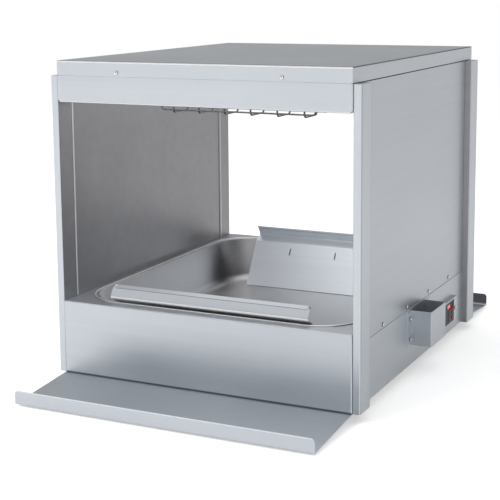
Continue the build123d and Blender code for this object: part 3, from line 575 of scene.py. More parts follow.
def moulded(name, color, rough, grain=2500.0, depth=0.00003):
    """Moulded plastic or rubber with a fine leathery grain."""
    finish = Finish(name)
    pits = finish.noise(grain)
    cloud = finish.noise(30.0)
    mixed = finish.sum(pits, cloud)
    finish.relief(pits, 0.35, depth)
    return finish.set(
        Base_Color=finish.tones(finish.spread(cloud, 0.0, 1.0), color, 0.85, 1.2, 0.0, 1.0),
        Roughness=finish.spread(mixed, rough - 0.06, rough + 0.06, 0.7, 1.3),
    )


# ---------------------------------------------------------------- mesh helpers


def paint(material, *nodes):
    """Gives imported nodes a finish."""
    for node in nodes:
        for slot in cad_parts[node].material_slots:
            slot.material = material


def new_piece(name, mesh, material, body, nodes=()):
    """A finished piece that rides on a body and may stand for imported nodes."""
    mesh.name = name
    mesh.materials.clear()
    mesh.materials.append(material)
    piece = scene_object(name, mesh)
    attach(piece, body)
    if nodes:
        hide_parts(*nodes)
    return piece


def scene_object(name, data):
    """A new object in the scene."""
    made = bpy.data.objects.new(name, data)
    bpy.context.scene.collection.objects.link(made)
    return made


def settle(*objects):
    """The first object as a plain mesh with its modifiers worked in; the objects go."""
    bpy.context.view_layer.update()
    depsgraph = bpy.context.evaluated_depsgraph_get()
    mesh = bpy.data.meshes.new_from_object(objects[0].evaluated_get(depsgraph))
    for made in objects:
        bpy.data.objects.remove(made)
    return mesh


def mesh_from(bm, name, smooth=None):
    """A mesh from a bmesh, smooth but for its edges over an angle when one is given."""
    bmesh.ops.recalc_face_normals(bm, faces=bm.faces)
    mesh = bpy.data.meshes.new(name)
    bm.to_mesh(mesh)
    bm.free()
    if smooth is not None:
        round_off(mesh, smooth)
    return mesh


def round_off(mesh, angle):
    """Smooth shading, with edges over an angle kept sharp."""
    mesh.shade_smooth()
    mesh.set_sharp_from_angle(angle=angle)


def carve(made, cutter, overlapping=False):
    """Cuts the cutter's shape out of an object; overlapping says that its parts overlap."""
    cut = made.modifiers.new("cut", "BOOLEAN")
    cut.object = cutter
    cut.solver = "EXACT"
    cut.use_self = overlapping


def skirt(bm, first, second):
    """Faces between two closed rings of points."""
    for i in range(len(first)):
        j = (i + 1) % len(first)
        bm.faces.new((first[i], first[j], second[j], second[i]))


def separate_boxes(node):
    """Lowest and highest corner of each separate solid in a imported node."""
    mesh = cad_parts[node].data
    place, parent = {}, {}
    keys = [tuple(round(c, 5) for c in v.co) for v in mesh.vertices]
    for key, vertex in zip(keys, mesh.vertices):
        place[key] = vertex.co.copy()
        parent[key] = key

    def root(key):
        while parent[key] != key:
            parent[key] = parent[parent[key]]
            key = parent[key]
        return key

    for polygon in mesh.polygons:
        first = root(keys[polygon.vertices[0]])
        for index in polygon.vertices[1:]:
            parent[root(keys[index])] = first
    boxes = {}
    for key, co in place.items():
        low, high = boxes.setdefault(root(key), (co.copy(), co.copy()))
        for axis in range(3):
            low[axis] = min(low[axis], co[axis])
            high[axis] = max(high[axis], co[axis])
    return sorted(boxes.values(), key=lambda pair: tuple(pair[0]))


def arc(middle, radius, start, end, steps):
    """Points on an arc, angles in degrees."""
    points = []
    for step in range(steps + 1):
        angle = math.radians(start + (end - start) * step / steps)
        points.append((middle[0] + radius * math.cos(angle), middle[1] + radius * math.sin(angle)))
    return points


def rounded_ring(half_x, half_y, radius, height, steps):
    """Points round a rectangle with rounded corners, counter-clockwise."""
    points = []
    for turn, (sx, sy) in enumerate(((1, 1), (-1, 1), (-1, -1), (1, -1))):
        middle = (sx * (half_x - radius), sy * (half_y - radius))
        for x, y in arc(middle, radius, 90 * turn, 90 * turn + 90, steps):
            points.append(Vector((x, y, height)))
    return points


def circle(radius):
    """Points round a circle, fifteen degrees apart."""
    return arc((0, 0), radius, 0, 345, 23)


def rectangle(half_wide, half_tall):
    """Corners of a rectangle, counter-clockwise."""
    return [
        (-half_wide, -half_tall),
        (half_wide, -half_tall),
        (half_wide, half_tall),
        (-half_wide, half_tall),
    ]


# ---------------------------------------------------------------- pieces


class WARMER_OT_skins(bpy.types.Operator):
    """Brushed finish on the hood, walls, posts, base, shelves, pocket and housing"""

    bl_idname = "warmer.skins"
    bl_label = "Steel skins"

    def execute(self, context):
        skin = context.scene.warmer.skin
        for axis, label, nodes, tone, details in (
            ("X", "brushed_base", GRAIN_ALONG_X, 1.0, lip_faces),
            ("Y", "brushed_covers", LOWER_COVERS, 0.98, None),
            ("Y", "brushed_pocket", SIDE_BOXES, 1.02, pocket_front),
            ("Y", "brushed_walls", SIDE_WALLS, 0.96, inner_faces),
            ("Z", "brushed_posts", POSTS, 1.03, post_faces),
            ("X", "brushed_hood", HOOD_SHEETS, 1.0, hood_folds),
        ):
            paint(brushed_steel(label, axis, skin, tone, details), *nodes)
        paint(mill_steel("mill_sheet", (0.52, 0.53, 0.54), 0.42), *MILL_SHEETS)
        return {"FINISHED"}


class WARMER_OT_heaters(bpy.types.Operator):
    """Finish on the reflectors, elements, insulation, plate and electrical parts"""

    bl_idname = "warmer.heaters"
    bl_label = "Heaters and inner parts"

    def execute(self, context):
        bright = mill_steel("bright_aluminium", (0.78, 0.78, 0.78), 0.24)
        paint(bright, "reflector_front", "reflector_rear", "heat_plate", "pan_thermostat")
        sheath = mill_steel("heat_darkened_sheath", (0.20, 0.175, 0.16), 0.45)
        paint(sheath, "heating_element_front", "heating_element_rear")
        glazed = moulded("glazed_ceramic", (0.80, 0.77, 0.70), 0.25, 900.0)
        paint(glazed, "element_insulators", "hood_terminal_block", "terminal_block")
        wool = moulded("mineral_wool", (0.62, 0.56, 0.42), 0.95, 500.0, 0.002)
        paint(wool, "hood_insulation", "bed_insulation")
        blanket = moulded("silicone_blanket", (0.45, 0.12, 0.07), 0.6, 700.0, 0.0003)
        paint(blanket, "heater_blanket")
        rubber = moulded("foot_rubber", (0.022, 0.022, 0.023), 0.62, 1800.0, 0.00006)
        paint(rubber, "rubber_feet")
        black = moulded("black_nylon", (0.02, 0.02, 0.022), 0.45, 1500.0)
        paint(black, "cable_gland", "gland_nut", "heater_relay", "controller_case")
        return {"FINISHED"}


class WARMER_OT_pan(bpy.types.Operator):
    """Drawn pan with its beaded rim"""

    bl_idname = "warmer.pan"
    bl_label = "Pan"

    def execute(self, context):
        pan = context.scene.warmer.pan
        low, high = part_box("pan")
        deck = high.z - pan.bead_height
        corner_steps, sharp_over = 20, math.radians(50)
        bm = bmesh.new()
        rows = []
        for inset, height in self.profile(pan, low.z, deck, deck + pan.sheet):
            half_x, half_y, radius = high.x - inset, high.y - inset, pan.corner - inset
            ring = rounded_ring(half_x, half_y, radius, height, corner_steps)
            rows.append([bm.verts.new(co) for co in ring])
        for row, following in zip(rows, rows[1:]):
            skirt(bm, row, following)
        bm.faces.new(rows[0])
        bm.faces.new(reversed(rows[-1]))
        bmesh.ops.remove_doubles(bm, verts=bm.verts, dist=1e-7)
        mesh = mesh_from(bm, "pan", sharp_over)
        new_piece("drawn_pan", mesh, self.satin(pan, deck), "pan", ["pan"])
        return {"FINISHED"}

    def satin(self, pan, deck):
        """Satin drawn steel, with a painted highlight along the bead."""
        finish = Finish("drawn_satin_steel")
        bead_from, bead_to = 1.3 * MM, 1.9 * MM
        drawn = finish.noise((25.0, 25.0, 500.0), 3.0)
        cloud = finish.noise(9.0, 3.0)
        mixed = finish.sum(drawn, cloud)
        laid_out = finish.spread(mixed, 0.0, 1.0, 0.7, 1.3)
        tint = finish.tones(laid_out, pan.color, 0.92, 1.06, 0.0, 1.0)
        height = finish.split(finish.place)[2]
        # Painted highlight along the bead, which is also a little rougher.
        highlit = finish.spread(height, 0.0, 1.0, deck + bead_from, deck + bead_to)
        bright = finish.tones(cloud, pan.rim_color, 0.97, 1.0)
        finish.relief(drawn, 0.08, 0.0001)
        dull = finish.spread(mixed, 0.30, 0.40, 0.7, 1.3)
        return finish.set(
            Base_Color=finish.blend(highlit, tint, bright),
            Metallic=1.0,
            Roughness=finish.sum(dull, finish.both(highlit, 0.12)),
        )

    def profile(self, pan, bottom, deck, top):
        """Inset from the rim's edge and height, from the middle of the floor inside, up over
        the rim and down the outside to the floor's underside."""
        mouth_round, edge_round, crown_power = 1.8 * MM, 0.2 * MM, 0.7
        wall_top = pan.rim_lap + pan.sheet
        floor = bottom + pan.sheet
        lean = pan.draft
        run = wall_top + (top - floor) * math.tan(lean)
        corner = pan.floor_round * math.tan(math.pi / 4 - lean / 2)
        middle = (run + corner, floor + pan.floor_round)
        points = arc(middle, pan.floor_round, 270, 180 + math.degrees(lean), 8)
        reach = mouth_round * math.tan(math.pi / 4 - lean / 2)
        mouth = (wall_top - reach, top - mouth_round)
        points += arc(mouth, mouth_round, math.degrees(lean), 90, 6)
        half = pan.bead_width / 2
        crown = pan.bead_height - pan.sheet
        for step in range(9):
            angle = math.pi * step / 8
            over = crown * math.sin(angle) ** crown_power
            points.append((half + half * math.cos(angle), top + over))
        points += [(0.0, deck + edge_round), (edge_round, deck), (pan.rim_lap, deck)]
        outer = pan.floor_round + pan.sheet
        points += arc(middle, outer, 180 + math.degrees(lean), 270, 8)
        return points


class WARMER_OT_ramps(bpy.types.Operator):
    """Folded ramps with a mitred top strip and divider slots"""

    bl_idname = "warmer.ramps"
    bl_label = "Ramps"

    def execute(self, context):
        ramp = context.scene.warmer.ramp
        skin = context.scene.warmer.skin
        # The two ramps share one finish, painted lighter or darker for how light falls on each: the
        # front ramp a shade darker, the rear ramp much lighter.
        for side, node, tone in ((-1, "front_ramp", 0.86), (1, "rear_ramp", 1.4)):
            finish = brushed_steel(f"brushed_{node}", "X", skin, tone, ramp_lines)
            mesh = self.folded(ramp, node, side)
            new_piece(f"folded_{node}", mesh, finish, node, [node])
        return {"FINISHED"}

    def folded(self, ramp, node, side):
        """One ramp's sheet, with its slots cut."""
        throat_round, fold_round, start = 2.5 * MM, 4.5 * MM, 10 * MM
        fold_in, fold_down = 0.3 * ramp.sheet, 0.6 * ramp.sheet
        foot_in, foot_up, sharp_over = 0.6 * MM, 0.3 * MM, math.radians(15)
        low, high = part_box(node)
        near_y, far_y = sorted((abs(low.y), abs(high.y)))
        flange_way, curl_way = (
            Vector((-math.cos(lean), math.sin(lean))) for lean in (ramp.flange_lean, ramp.curl_lean)
        )
        rise = ramp.flange * math.sin(ramp.flange_lean) + ramp.curl * math.sin(ramp.curl_lean)
        fold = Vector((far_y - fold_in, high.z - rise - fold_down))
        foot = Vector((near_y + foot_in, low.z + foot_up))
        throat = fold + Vector((-ramp.throat_reach, -ramp.throat_drop))
        up = fold + flange_way * start
        path = self.rounded([foot, throat, fold, up], (throat_round, fold_round))
        columns = self.columns(high.x)
        rows = [[(x, point) for x in columns] for point in path]
        for share, beyond in FLANGE_ROWS:
            if beyond == 0.0:
                crease_row = len(rows)
            row = []
            for x in columns:
                top, crease = self.heights(x, high.x, ramp)
                along = self.along(start, top, crease, share, beyond)
                flat, turned = min(along, crease), max(0.0, along - crease)
                row.append((x, fold + flange_way * flat + curl_way * turned))
            rows.append(row)
        bm = bmesh.new()
        verts = [[bm.verts.new((x, side * p.x, p.y)) for x, p in row] for row in rows]
        creased = [vert.co.copy() for vert in verts[crease_row]]
        for row, following in zip(verts, verts[1:]):
            for i in range(len(row) - 1):
                bm.faces.new((row[i], row[i + 1], following[i + 1], following[i]))
        bmesh.ops.remove_doubles(bm, verts=bm.verts, dist=1e-6)
        bmesh.ops.dissolve_degenerate(bm, dist=1e-7, edges=bm.edges)
        sheet = scene_object("ramp_sheet", mesh_from(bm, "ramp_sheet"))
        wall = sheet.modifiers.new("sheet", "SOLIDIFY")
        wall.thickness = ramp.sheet
        wall.offset = 0.0
        wall.use_even_offset = True
        cutter = scene_object("slot_cutter", self.slots(ramp, side, foot.x))
        carve(sheet, cutter)
        mesh = settle(sheet, cutter)
        round_off(mesh, sharp_over)
        self.mark_lines(mesh, creased, fold, throat, side, ramp)
        return mesh

    def heights(self, x, half, ramp):
        """How far the sheet and its crease run from the fold, at a place across the ramp."""
        least_strip = 0.2 * MM
        total = ramp.flange + ramp.curl
        into = max(0.0, abs(x) - (half - ramp.corner))
        top = total - ramp.corner + math.sqrt(max(0.0, ramp.corner**2 - into**2))
        run_out = max(0.0, abs(x) - (half - ramp.mitre)) / ramp.mitre
        return top, min(ramp.flange + ramp.curl * run_out, top - least_strip)

    def along(self, start, top, crease, share, beyond):
        """How far from the fold a point of a flange row is; the rows next to the crease stand
        a millimetre from it, or less where the strip is narrow."""
        near = min(1 * MM, 0.3 * (top - crease))
        if beyond == 0.0:
            return crease
        if beyond > 0.0:
            return crease + near + (top - crease - near) * (beyond - 1)
        return start + (crease - near - start) * share

    def mark_lines(self, mesh, creased, fold, throat, side, ramp):
        """Marks where the painted shade line runs along the crease, where the painted highlight
        runs along the fold, and the brow's underside.
        """
        line, fold_reach, fold_top = 0.8 * ramp.sheet, 3.4 * MM, 1.9 * MM
        brow = (fold - throat).normalized()
        outward = Vector((brow.y, -brow.x))
        marks = {"crease_shade": [], "highlit": [], "under": []}
        for vertex in mesh.vertices:
            place = Vector((side * vertex.co.y, vertex.co.z))
            marks["crease_shade"].append(min((vertex.co - co).length for co in creased) < line)
            # The fold's painted highlight.
            marks["highlit"].append(place.x > fold.x - fold_reach and place.y < fold.y + fold_top)
            marks["under"].append((place - fold).dot(outward) > 0.0 and place.x > throat.x)
        for name, values in marks.items():
            layer = mesh.attributes.new(name, "FLOAT", "POINT")
            layer.data.foreach_set("value", [float(value) for value in values])

    def rounded(self, points, reaches):
        """A path with its inner corners rounded over a reach each way."""
        out = [points[0]]
        for before, corner, after, reach in zip(points, points[1:], points[2:], reaches):
            near = (before - corner).normalized()
            far = (after - corner).normalized()
            for step in range(10):
                t = step / 9
                out.append(corner + near * reach * (1 - t) ** 2 + far * reach * t**2)
        out.append(points[-1])
        return out

    def columns(self, half):
        """Places across the ramp, closer together near its ends."""
        ends = {half - reach * MM for reach in END_COLUMNS}
        right = sorted(ends | {half * share for share in MIDDLE_COLUMNS})
        return [-x for x in reversed(right[1:])] + right

    def slots(self, ramp, side, foot):
        """Prisms that cut the divider slots."""
        near_reach, far_reach = 20 * MM, 75 * MM
        bm = bmesh.new()
        radius = ramp.slot_width / 2
        middle = ramp.slot_top - ramp.slot_length / 2
        straight = ramp.slot_length / 2 - radius
        outline = arc((0, middle + straight), radius, 0, 180, 8)
        outline += arc((0, middle - straight), radius, 180, 360, 8)
        for column in (-1, 0, 1):
            near, far = (
                [
                    bm.verts.new((column * ramp.slot_pitch + x, side * (foot + reach), z))
                    for x, z in outline
                ]
                for reach in (near_reach, far_reach)
            )
            skirt(bm, near, far)
            bm.faces.new(near)
            bm.faces.new(far)
        return mesh_from(bm, "slot_cutter")


class WARMER_OT_guards(bpy.types.Operator):
    """Welded wire guards under the two heaters"""

    bl_idname = "warmer.guards"
    bl_label = "Wire guards"

    def execute(self, context):
        guard = context.scene.warmer.guard
        # The wire gets a very dark colour: painted shade for wires that hang in the hood's shade.
        finish = Finish("shade_darkened_wire")
        mottle = finish.noise(150.0, 3.0)
        tint = finish.shades(mottle, (0.11, 0.11, 0.112), (0.17, 0.17, 0.172))
        finish.relief(mottle, 0.1, 0.0001)
        finish.set(Base_Color=tint, Metallic=1.0, Roughness=finish.spread(mottle, 0.14, 0.26))
        tree, inputs = self.tree()
        for node in ("wire_guard_front", "wire_guard_rear"):
            low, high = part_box(node)
            middle = (low.y + high.y) / 2
            # The rails pass outside the wires' legs: a whole rod, and half of the leg's own.
            leg = (high.y - low.y) / 2 - 1.5 * guard.rod
            bottom = low.z + guard.rod / 2
            rail = bottom + guard.rail_rise
            end = high.x - guard.rod / 2
            wire = [(0, middle - leg, high.z), (0, middle - leg, bottom),
                    (0, middle + leg, bottom), (0, middle + leg, high.z)]
            rails = [
                [(-end, y, high.z), (-end, y, rail), (end, y, rail), (end, y, high.z)]
                for y in (middle - leg - guard.rod, middle + leg + guard.rod)
            ]
            base = scene_object("guard_wire_path", self.path([wire]))
            rail_path = scene_object("guard_rail_path", self.path(rails))
            values = {
                "Rails": rail_path,
                "Finish": finish.material,
                "Rod diameter": guard.rod,
                "Bend radius": guard.bend,
                "Wires": guard.count,
                "Pitch": guard.pitch,
                "Weld size": guard.weld,
            }
            run_tree(base, tree, inputs, values)
            mesh = settle(base, rail_path)
            new_piece(f"welded_{node}", mesh, finish.material, "frame", [node])
        return {"FINISHED"}

    def path(self, lines):
        """A mesh of open lines of edges."""
        verts, edges = [], []
        for line in lines:
            start = len(verts)
            verts += line
            edges += [(i, i + 1) for i in range(start, start + len(line) - 1)]
        mesh = bpy.data.meshes.new("path")
        mesh.from_pydata(verts, edges, [])
        return mesh

    def tree(self):
        """Geometry nodes that bend, repeat and weld the wires."""
        bead_shape = (1.5, 0.9, 1.0)
        group, inputs, start, out, net = new_geometry_tree(
            "wire_guard",
            {
                "Rails": "Object",
                "Finish": "Material",
                "Rod diameter": "Float",
                "Bend radius": "Float",
                "Wires": "Int",
                "Pitch": "Float",
                "Weld size": "Float",
            },
        )
        radius = net.both(start["Rod diameter"], 0.5)
        wire = self.bent(net, start["Geometry"], radius, start["Bend radius"])
        rail_path = net.add("GeometryNodeObjectInfo", Object=start["Rails"])
        rails = self.bent(net, rail_path.outputs["Geometry"], radius, start["Bend radius"])
        gaps = net.sum(start["Wires"], 1.0, "SUBTRACT")
        first = net.both(net.both(gaps, start["Pitch"]), -0.5)
        row = net.add("GeometryNodeMeshLine", {"mode": "OFFSET", "count_mode": "TOTAL"})
        net.feed(row.inputs["Count"], start["Wires"])
        net.feed(row.inputs["Start Location"], net.vector(X=first))
        net.feed(row.inputs["Offset"], net.vector(X=start["Pitch"]))
        spots = row.outputs["Mesh"]
        wires = net.add("GeometryNodeInstanceOnPoints", Points=spots, Instance=wire)

        # A weld bead where each wire passes each rail: on the wire's two legs, at rail height.
        bounds = net.add("GeometryNodeBoundBox", Geometry=rails)
        corners = net.add("GeometryNodeBoundBox", Geometry=wire)
        height = net.sum(net.split(bounds.outputs["Min"])[2], radius)
        join = net.add("GeometryNodeJoinGeometry")
        for corner in ("Min", "Max"):
            leg = net.split(corners.outputs[corner])[1]
            ball = net.add("GeometryNodeMeshIcoSphere", Subdivisions=2, Radius=start["Weld size"])
            bead = net.add(
                "GeometryNodeTransform",
                Geometry=ball.outputs["Mesh"],
                Translation=net.vector(Y=leg, Z=height),
                Scale=bead_shape,
            )
            beads = net.add(
                "GeometryNodeInstanceOnPoints", Points=spots, Instance=bead.outputs["Geometry"]
            )
            net.feed(join.inputs["Geometry"], beads.outputs["Instances"])
        net.feed(join.inputs["Geometry"], wires.outputs["Instances"])
        net.feed(join.inputs["Geometry"], rails)
        finish_tree(net, join.outputs["Geometry"], start["Finish"], out)
        return group, inputs

    def bent(self, net, path, radius, bend):
        """A rod bent along a path."""
        curve = net.add("GeometryNodeMeshToCurve", Mesh=path)
        fillet = net.add("GeometryNodeFilletCurve", Curve=curve.outputs["Curve"], Radius=bend)
        set_choice(fillet, "mode", "Mode", "POLY")
        fillet.inputs["Count"].default_value = 8
        circle = net.add("GeometryNodeCurvePrimitiveCircle", Resolution=14, Radius=radius)
        tube = net.add(
            "GeometryNodeCurveToMesh",
            Curve=fillet.outputs["Curve"],
            Profile_Curve=circle.outputs["Curve"],
            Fill_Caps=True,
        )
        return tube.outputs["Mesh"]


def set_choice(node, attribute, socket, value):
    """Sets a choice that is an attribute in one version of a node and an input in another."""
    if hasattr(node, attribute):
        setattr(node, attribute, value)
    else:
        node.inputs[socket].default_value = value.title()


def new_geometry_tree(name, sockets):
    """A geometry tree with named inputs: the group, its inputs' identifiers, the input
    sockets by name, the output node and the net."""
    group = bpy.data.node_groups.new(name, "GeometryNodeTree")

    def socket(label, kind, way="INPUT"):
        kind = f"NodeSocket{kind}"
        return group.interface.new_socket(name=label, in_out=way, socket_type=kind).identifier

    socket("Geometry", "Geometry")
    inputs = {label: socket(label, kind) for label, kind in sockets.items()}
    socket("Geometry", "Geometry", "OUTPUT")
    net = Tree(group)
    entry = net.add("NodeGroupInput")
    start = {output.name: output for output in entry.outputs if output.name}
    out = net.add("NodeGroupOutput")
    return group, inputs, start, out, net


def finish_tree(net, geometry, material, out):
    """Ends a tree: instances made real, smooth shading and its material."""
    real = net.add("GeometryNodeRealizeInstances", Geometry=geometry)
    smooth = net.add("GeometryNodeSetShadeSmooth", Geometry=real.outputs["Geometry"])
    painted = net.add(
        "GeometryNodeSetMaterial", Geometry=smooth.outputs["Geometry"], Material=material
    )
    net.feed(out.inputs["Geometry"], painted.outputs["Geometry"])


def run_tree(made, tree, inputs, values):
    """Gives an object a geometry tree as its modifier, with the tree's values."""
    modifier = made.modifiers.new(tree.name, "NODES")
    modifier.node_group = tree
    for name, value in values.items():
        modifier[inputs[name]] = value


class WARMER_OT_screws(bpy.types.Operator):
    """Truss head screws on the hood, walls, pocket, housing, shelves and feet"""

    bl_idname = "warmer.screws"
    bl_label = "Screws"

    def execute(self, context):
        screw = context.scene.warmer.screw
        sharp_over = math.radians(40)
        finish = Finish("bright_screw_steel")
        turned = finish.noise(900.0)
        unshaded = finish.shades(turned, (0.88, 0.89, 0.90), (0.96, 0.965, 0.97))
        # Painted shade: a dark ring round the head's rim and in the recess.
        shade_tint = finish.shades(turned, (0.05, 0.052, 0.055), (0.09, 0.092, 0.095))
        rim_shade = finish.spread(finish.marked("rim"), 0.0, 1.0, 0.35, 0.8)
        tint = finish.blend(rim_shade, unshaded, shade_tint)
        finish.relief(turned, 0.08, 0.00004)
        finish.set(Base_Color=tint, Metallic=1.0, Roughness=finish.spread(turned, 0.16, 0.26))
        tree, inputs = self.tree()
        model = scene_object("screw_model", self.model())
        values = {
            "Screw": model,
            "Finish": finish.material,
            "Head diameter": screw.head,
            "Head height": screw.height,
            "Seed": screw.seed,
        }
        for node, axis in SCREW_ROWS.items():
            base = scene_object("screw_places", self.places(node, axis, screw.height))
            run_tree(base, tree, inputs, values)
            mesh = settle(base)
            round_off(mesh, sharp_over)
            new_piece(f"truss_{node}", mesh, finish.material, "frame", [node])
        bpy.data.objects.remove(model)
        return {"FINISHED"}

    def places(self, node, axis, height):
        """Points where the heads sit, each with its turn."""
        spots, turns = [], []
        index = "XYZ".index(axis)
        for low, high in separate_boxes(node):
            middle = (low + high) / 2
            outward = -1 if axis == "Z" or middle[index] < 0 else 1
            middle[index] = high[index] - height if outward > 0 else low[index] + height
            way = Vector((0, 0, 0))
            way[index] = outward
            spots.append(middle)
            turns.append(way.to_track_quat("Z", "Y").to_euler())
        mesh = bpy.data.meshes.new("screw_places")
        mesh.from_pydata(spots, [], [])
        turn = mesh.attributes.new("turn", "FLOAT_VECTOR", "POINT")
        for item, value in zip(turn.data, turns):
            item.vector = value
        return mesh

    def model(self):
        """One screw, one unit across its head and one unit high, with a cross recess."""
        brim, foot, shank, tip, fullness = 0.12, 0.49, 0.24, -3.0, 0.8
        profile = [(0.0, 1.0)]
        for degrees in (15, 30, 45, 60, 75):
            angle = math.radians(degrees)
            dome = brim + (1.0 - brim) * math.cos(angle) ** fullness
            profile.append((0.5 * math.sin(angle), dome))
        profile += [(0.5, brim), (foot, 0.0), (shank, 0.0), (shank, tip), (0.0, tip)]
        bm = bmesh.new()
        verts = [bm.verts.new((r, 0, z)) for r, z in profile]
        edges = [bm.edges.new(pair) for pair in zip(verts, verts[1:])]
        bmesh.ops.spin(
            bm, geom=verts + edges, cent=(0, 0, 0), axis=(0, 0, 1), angle=math.tau, steps=32,
            use_duplicate=False,
        )
        bmesh.ops.remove_doubles(bm, verts=bm.verts, dist=1e-5)
        head = scene_object("screw_head", mesh_from(bm, "screw_head"))
        cutter = scene_object("screw_recess", self.recess())
        carve(head, cutter, overlapping=True)
        mesh = settle(head, cutter)
        self.mark_rim(mesh)
        return mesh

    def recess(self):
        """The cutter of the cross recess: two tapered blades."""
        narrow, wide, blade, top, half_depth = 0.14, 0.33, 0.24, 1.1, 0.31
        bm = bmesh.new()
        for degrees in (0, 90):
            bmesh.ops.create_cone(
                bm, cap_ends=True, segments=4, radius1=narrow, radius2=wide, depth=2 * half_depth,
                matrix=Matrix.Rotation(math.radians(degrees), 4, "Z")
                @ Matrix.Translation((0, 0, top - half_depth))
                @ Matrix.Diagonal((1.0, blade, 1.0, 1.0))
                @ Matrix.Rotation(math.radians(45), 4, "Z"),
            )
        return mesh_from(bm, "screw_recess")

    def mark_rim(self, mesh):
        """Marks the recess and the head's rim, where painted shade sits."""
        recess, recess_top, unshaded, soft = 0.3, 0.75, 0.38, 0.11
        rim = mesh.attributes.new("rim", "FLOAT", "POINT")
        for item, vertex in zip(rim.data, mesh.vertices):
            reach = math.hypot(vertex.co.x, vertex.co.y)
            sunk = reach < recess and 0.0 < vertex.co.z < recess_top
            item.value = 1.0 if sunk else (reach - unshaded) / soft

    def tree(self):
        """Geometry nodes that set a screw at each point."""
        group, inputs, start, out, net = new_geometry_tree(
            "screw_row",
            {
                "Screw": "Object",
                "Finish": "Material",
                "Head diameter": "Float",
                "Head height": "Float",
                "Seed": "Int",
            },
        )
        points = net.add("GeometryNodeMeshToPoints", Mesh=start["Geometry"])
        turn = net.add(
            "GeometryNodeInputNamedAttribute", {"data_type": "FLOAT_VECTOR"}, Name="turn"
        )
        facing = net.add("FunctionNodeEulerToRotation", Euler=turn.outputs["Attribute"])
        spin = net.add("FunctionNodeRandomValue", {"data_type": "FLOAT"})
        least, most = (s for s in spin.inputs if s.name in ("Min", "Max") and s.enabled)
        least.default_value = 0.0
        most.default_value = math.pi / 2
        net.feed(spin.inputs["Seed"], start["Seed"])
        about = next(socket for socket in spin.outputs if socket.enabled)
        spun = net.add("FunctionNodeEulerToRotation", Euler=net.vector(Z=about))
        whole = net.add(
            "FunctionNodeRotateRotation",
            {"rotation_space": "LOCAL"},
            Rotation=facing.outputs["Rotation"],
            Rotate_By=spun.outputs["Rotation"],
        )
        across_head = start["Head diameter"]
        model = net.add("GeometryNodeObjectInfo", Object=start["Screw"])
        set_on = net.add(
            "GeometryNodeInstanceOnPoints",
            Points=points.outputs["Points"],
            Instance=model.outputs["Geometry"],
            Rotation=whole.outputs["Rotation"],
            Scale=net.vector(X=across_head, Y=across_head, Z=start["Head height"]),
        )
        finish_tree(net, set_on.outputs["Instances"], start["Finish"], out)
        return group, inputs


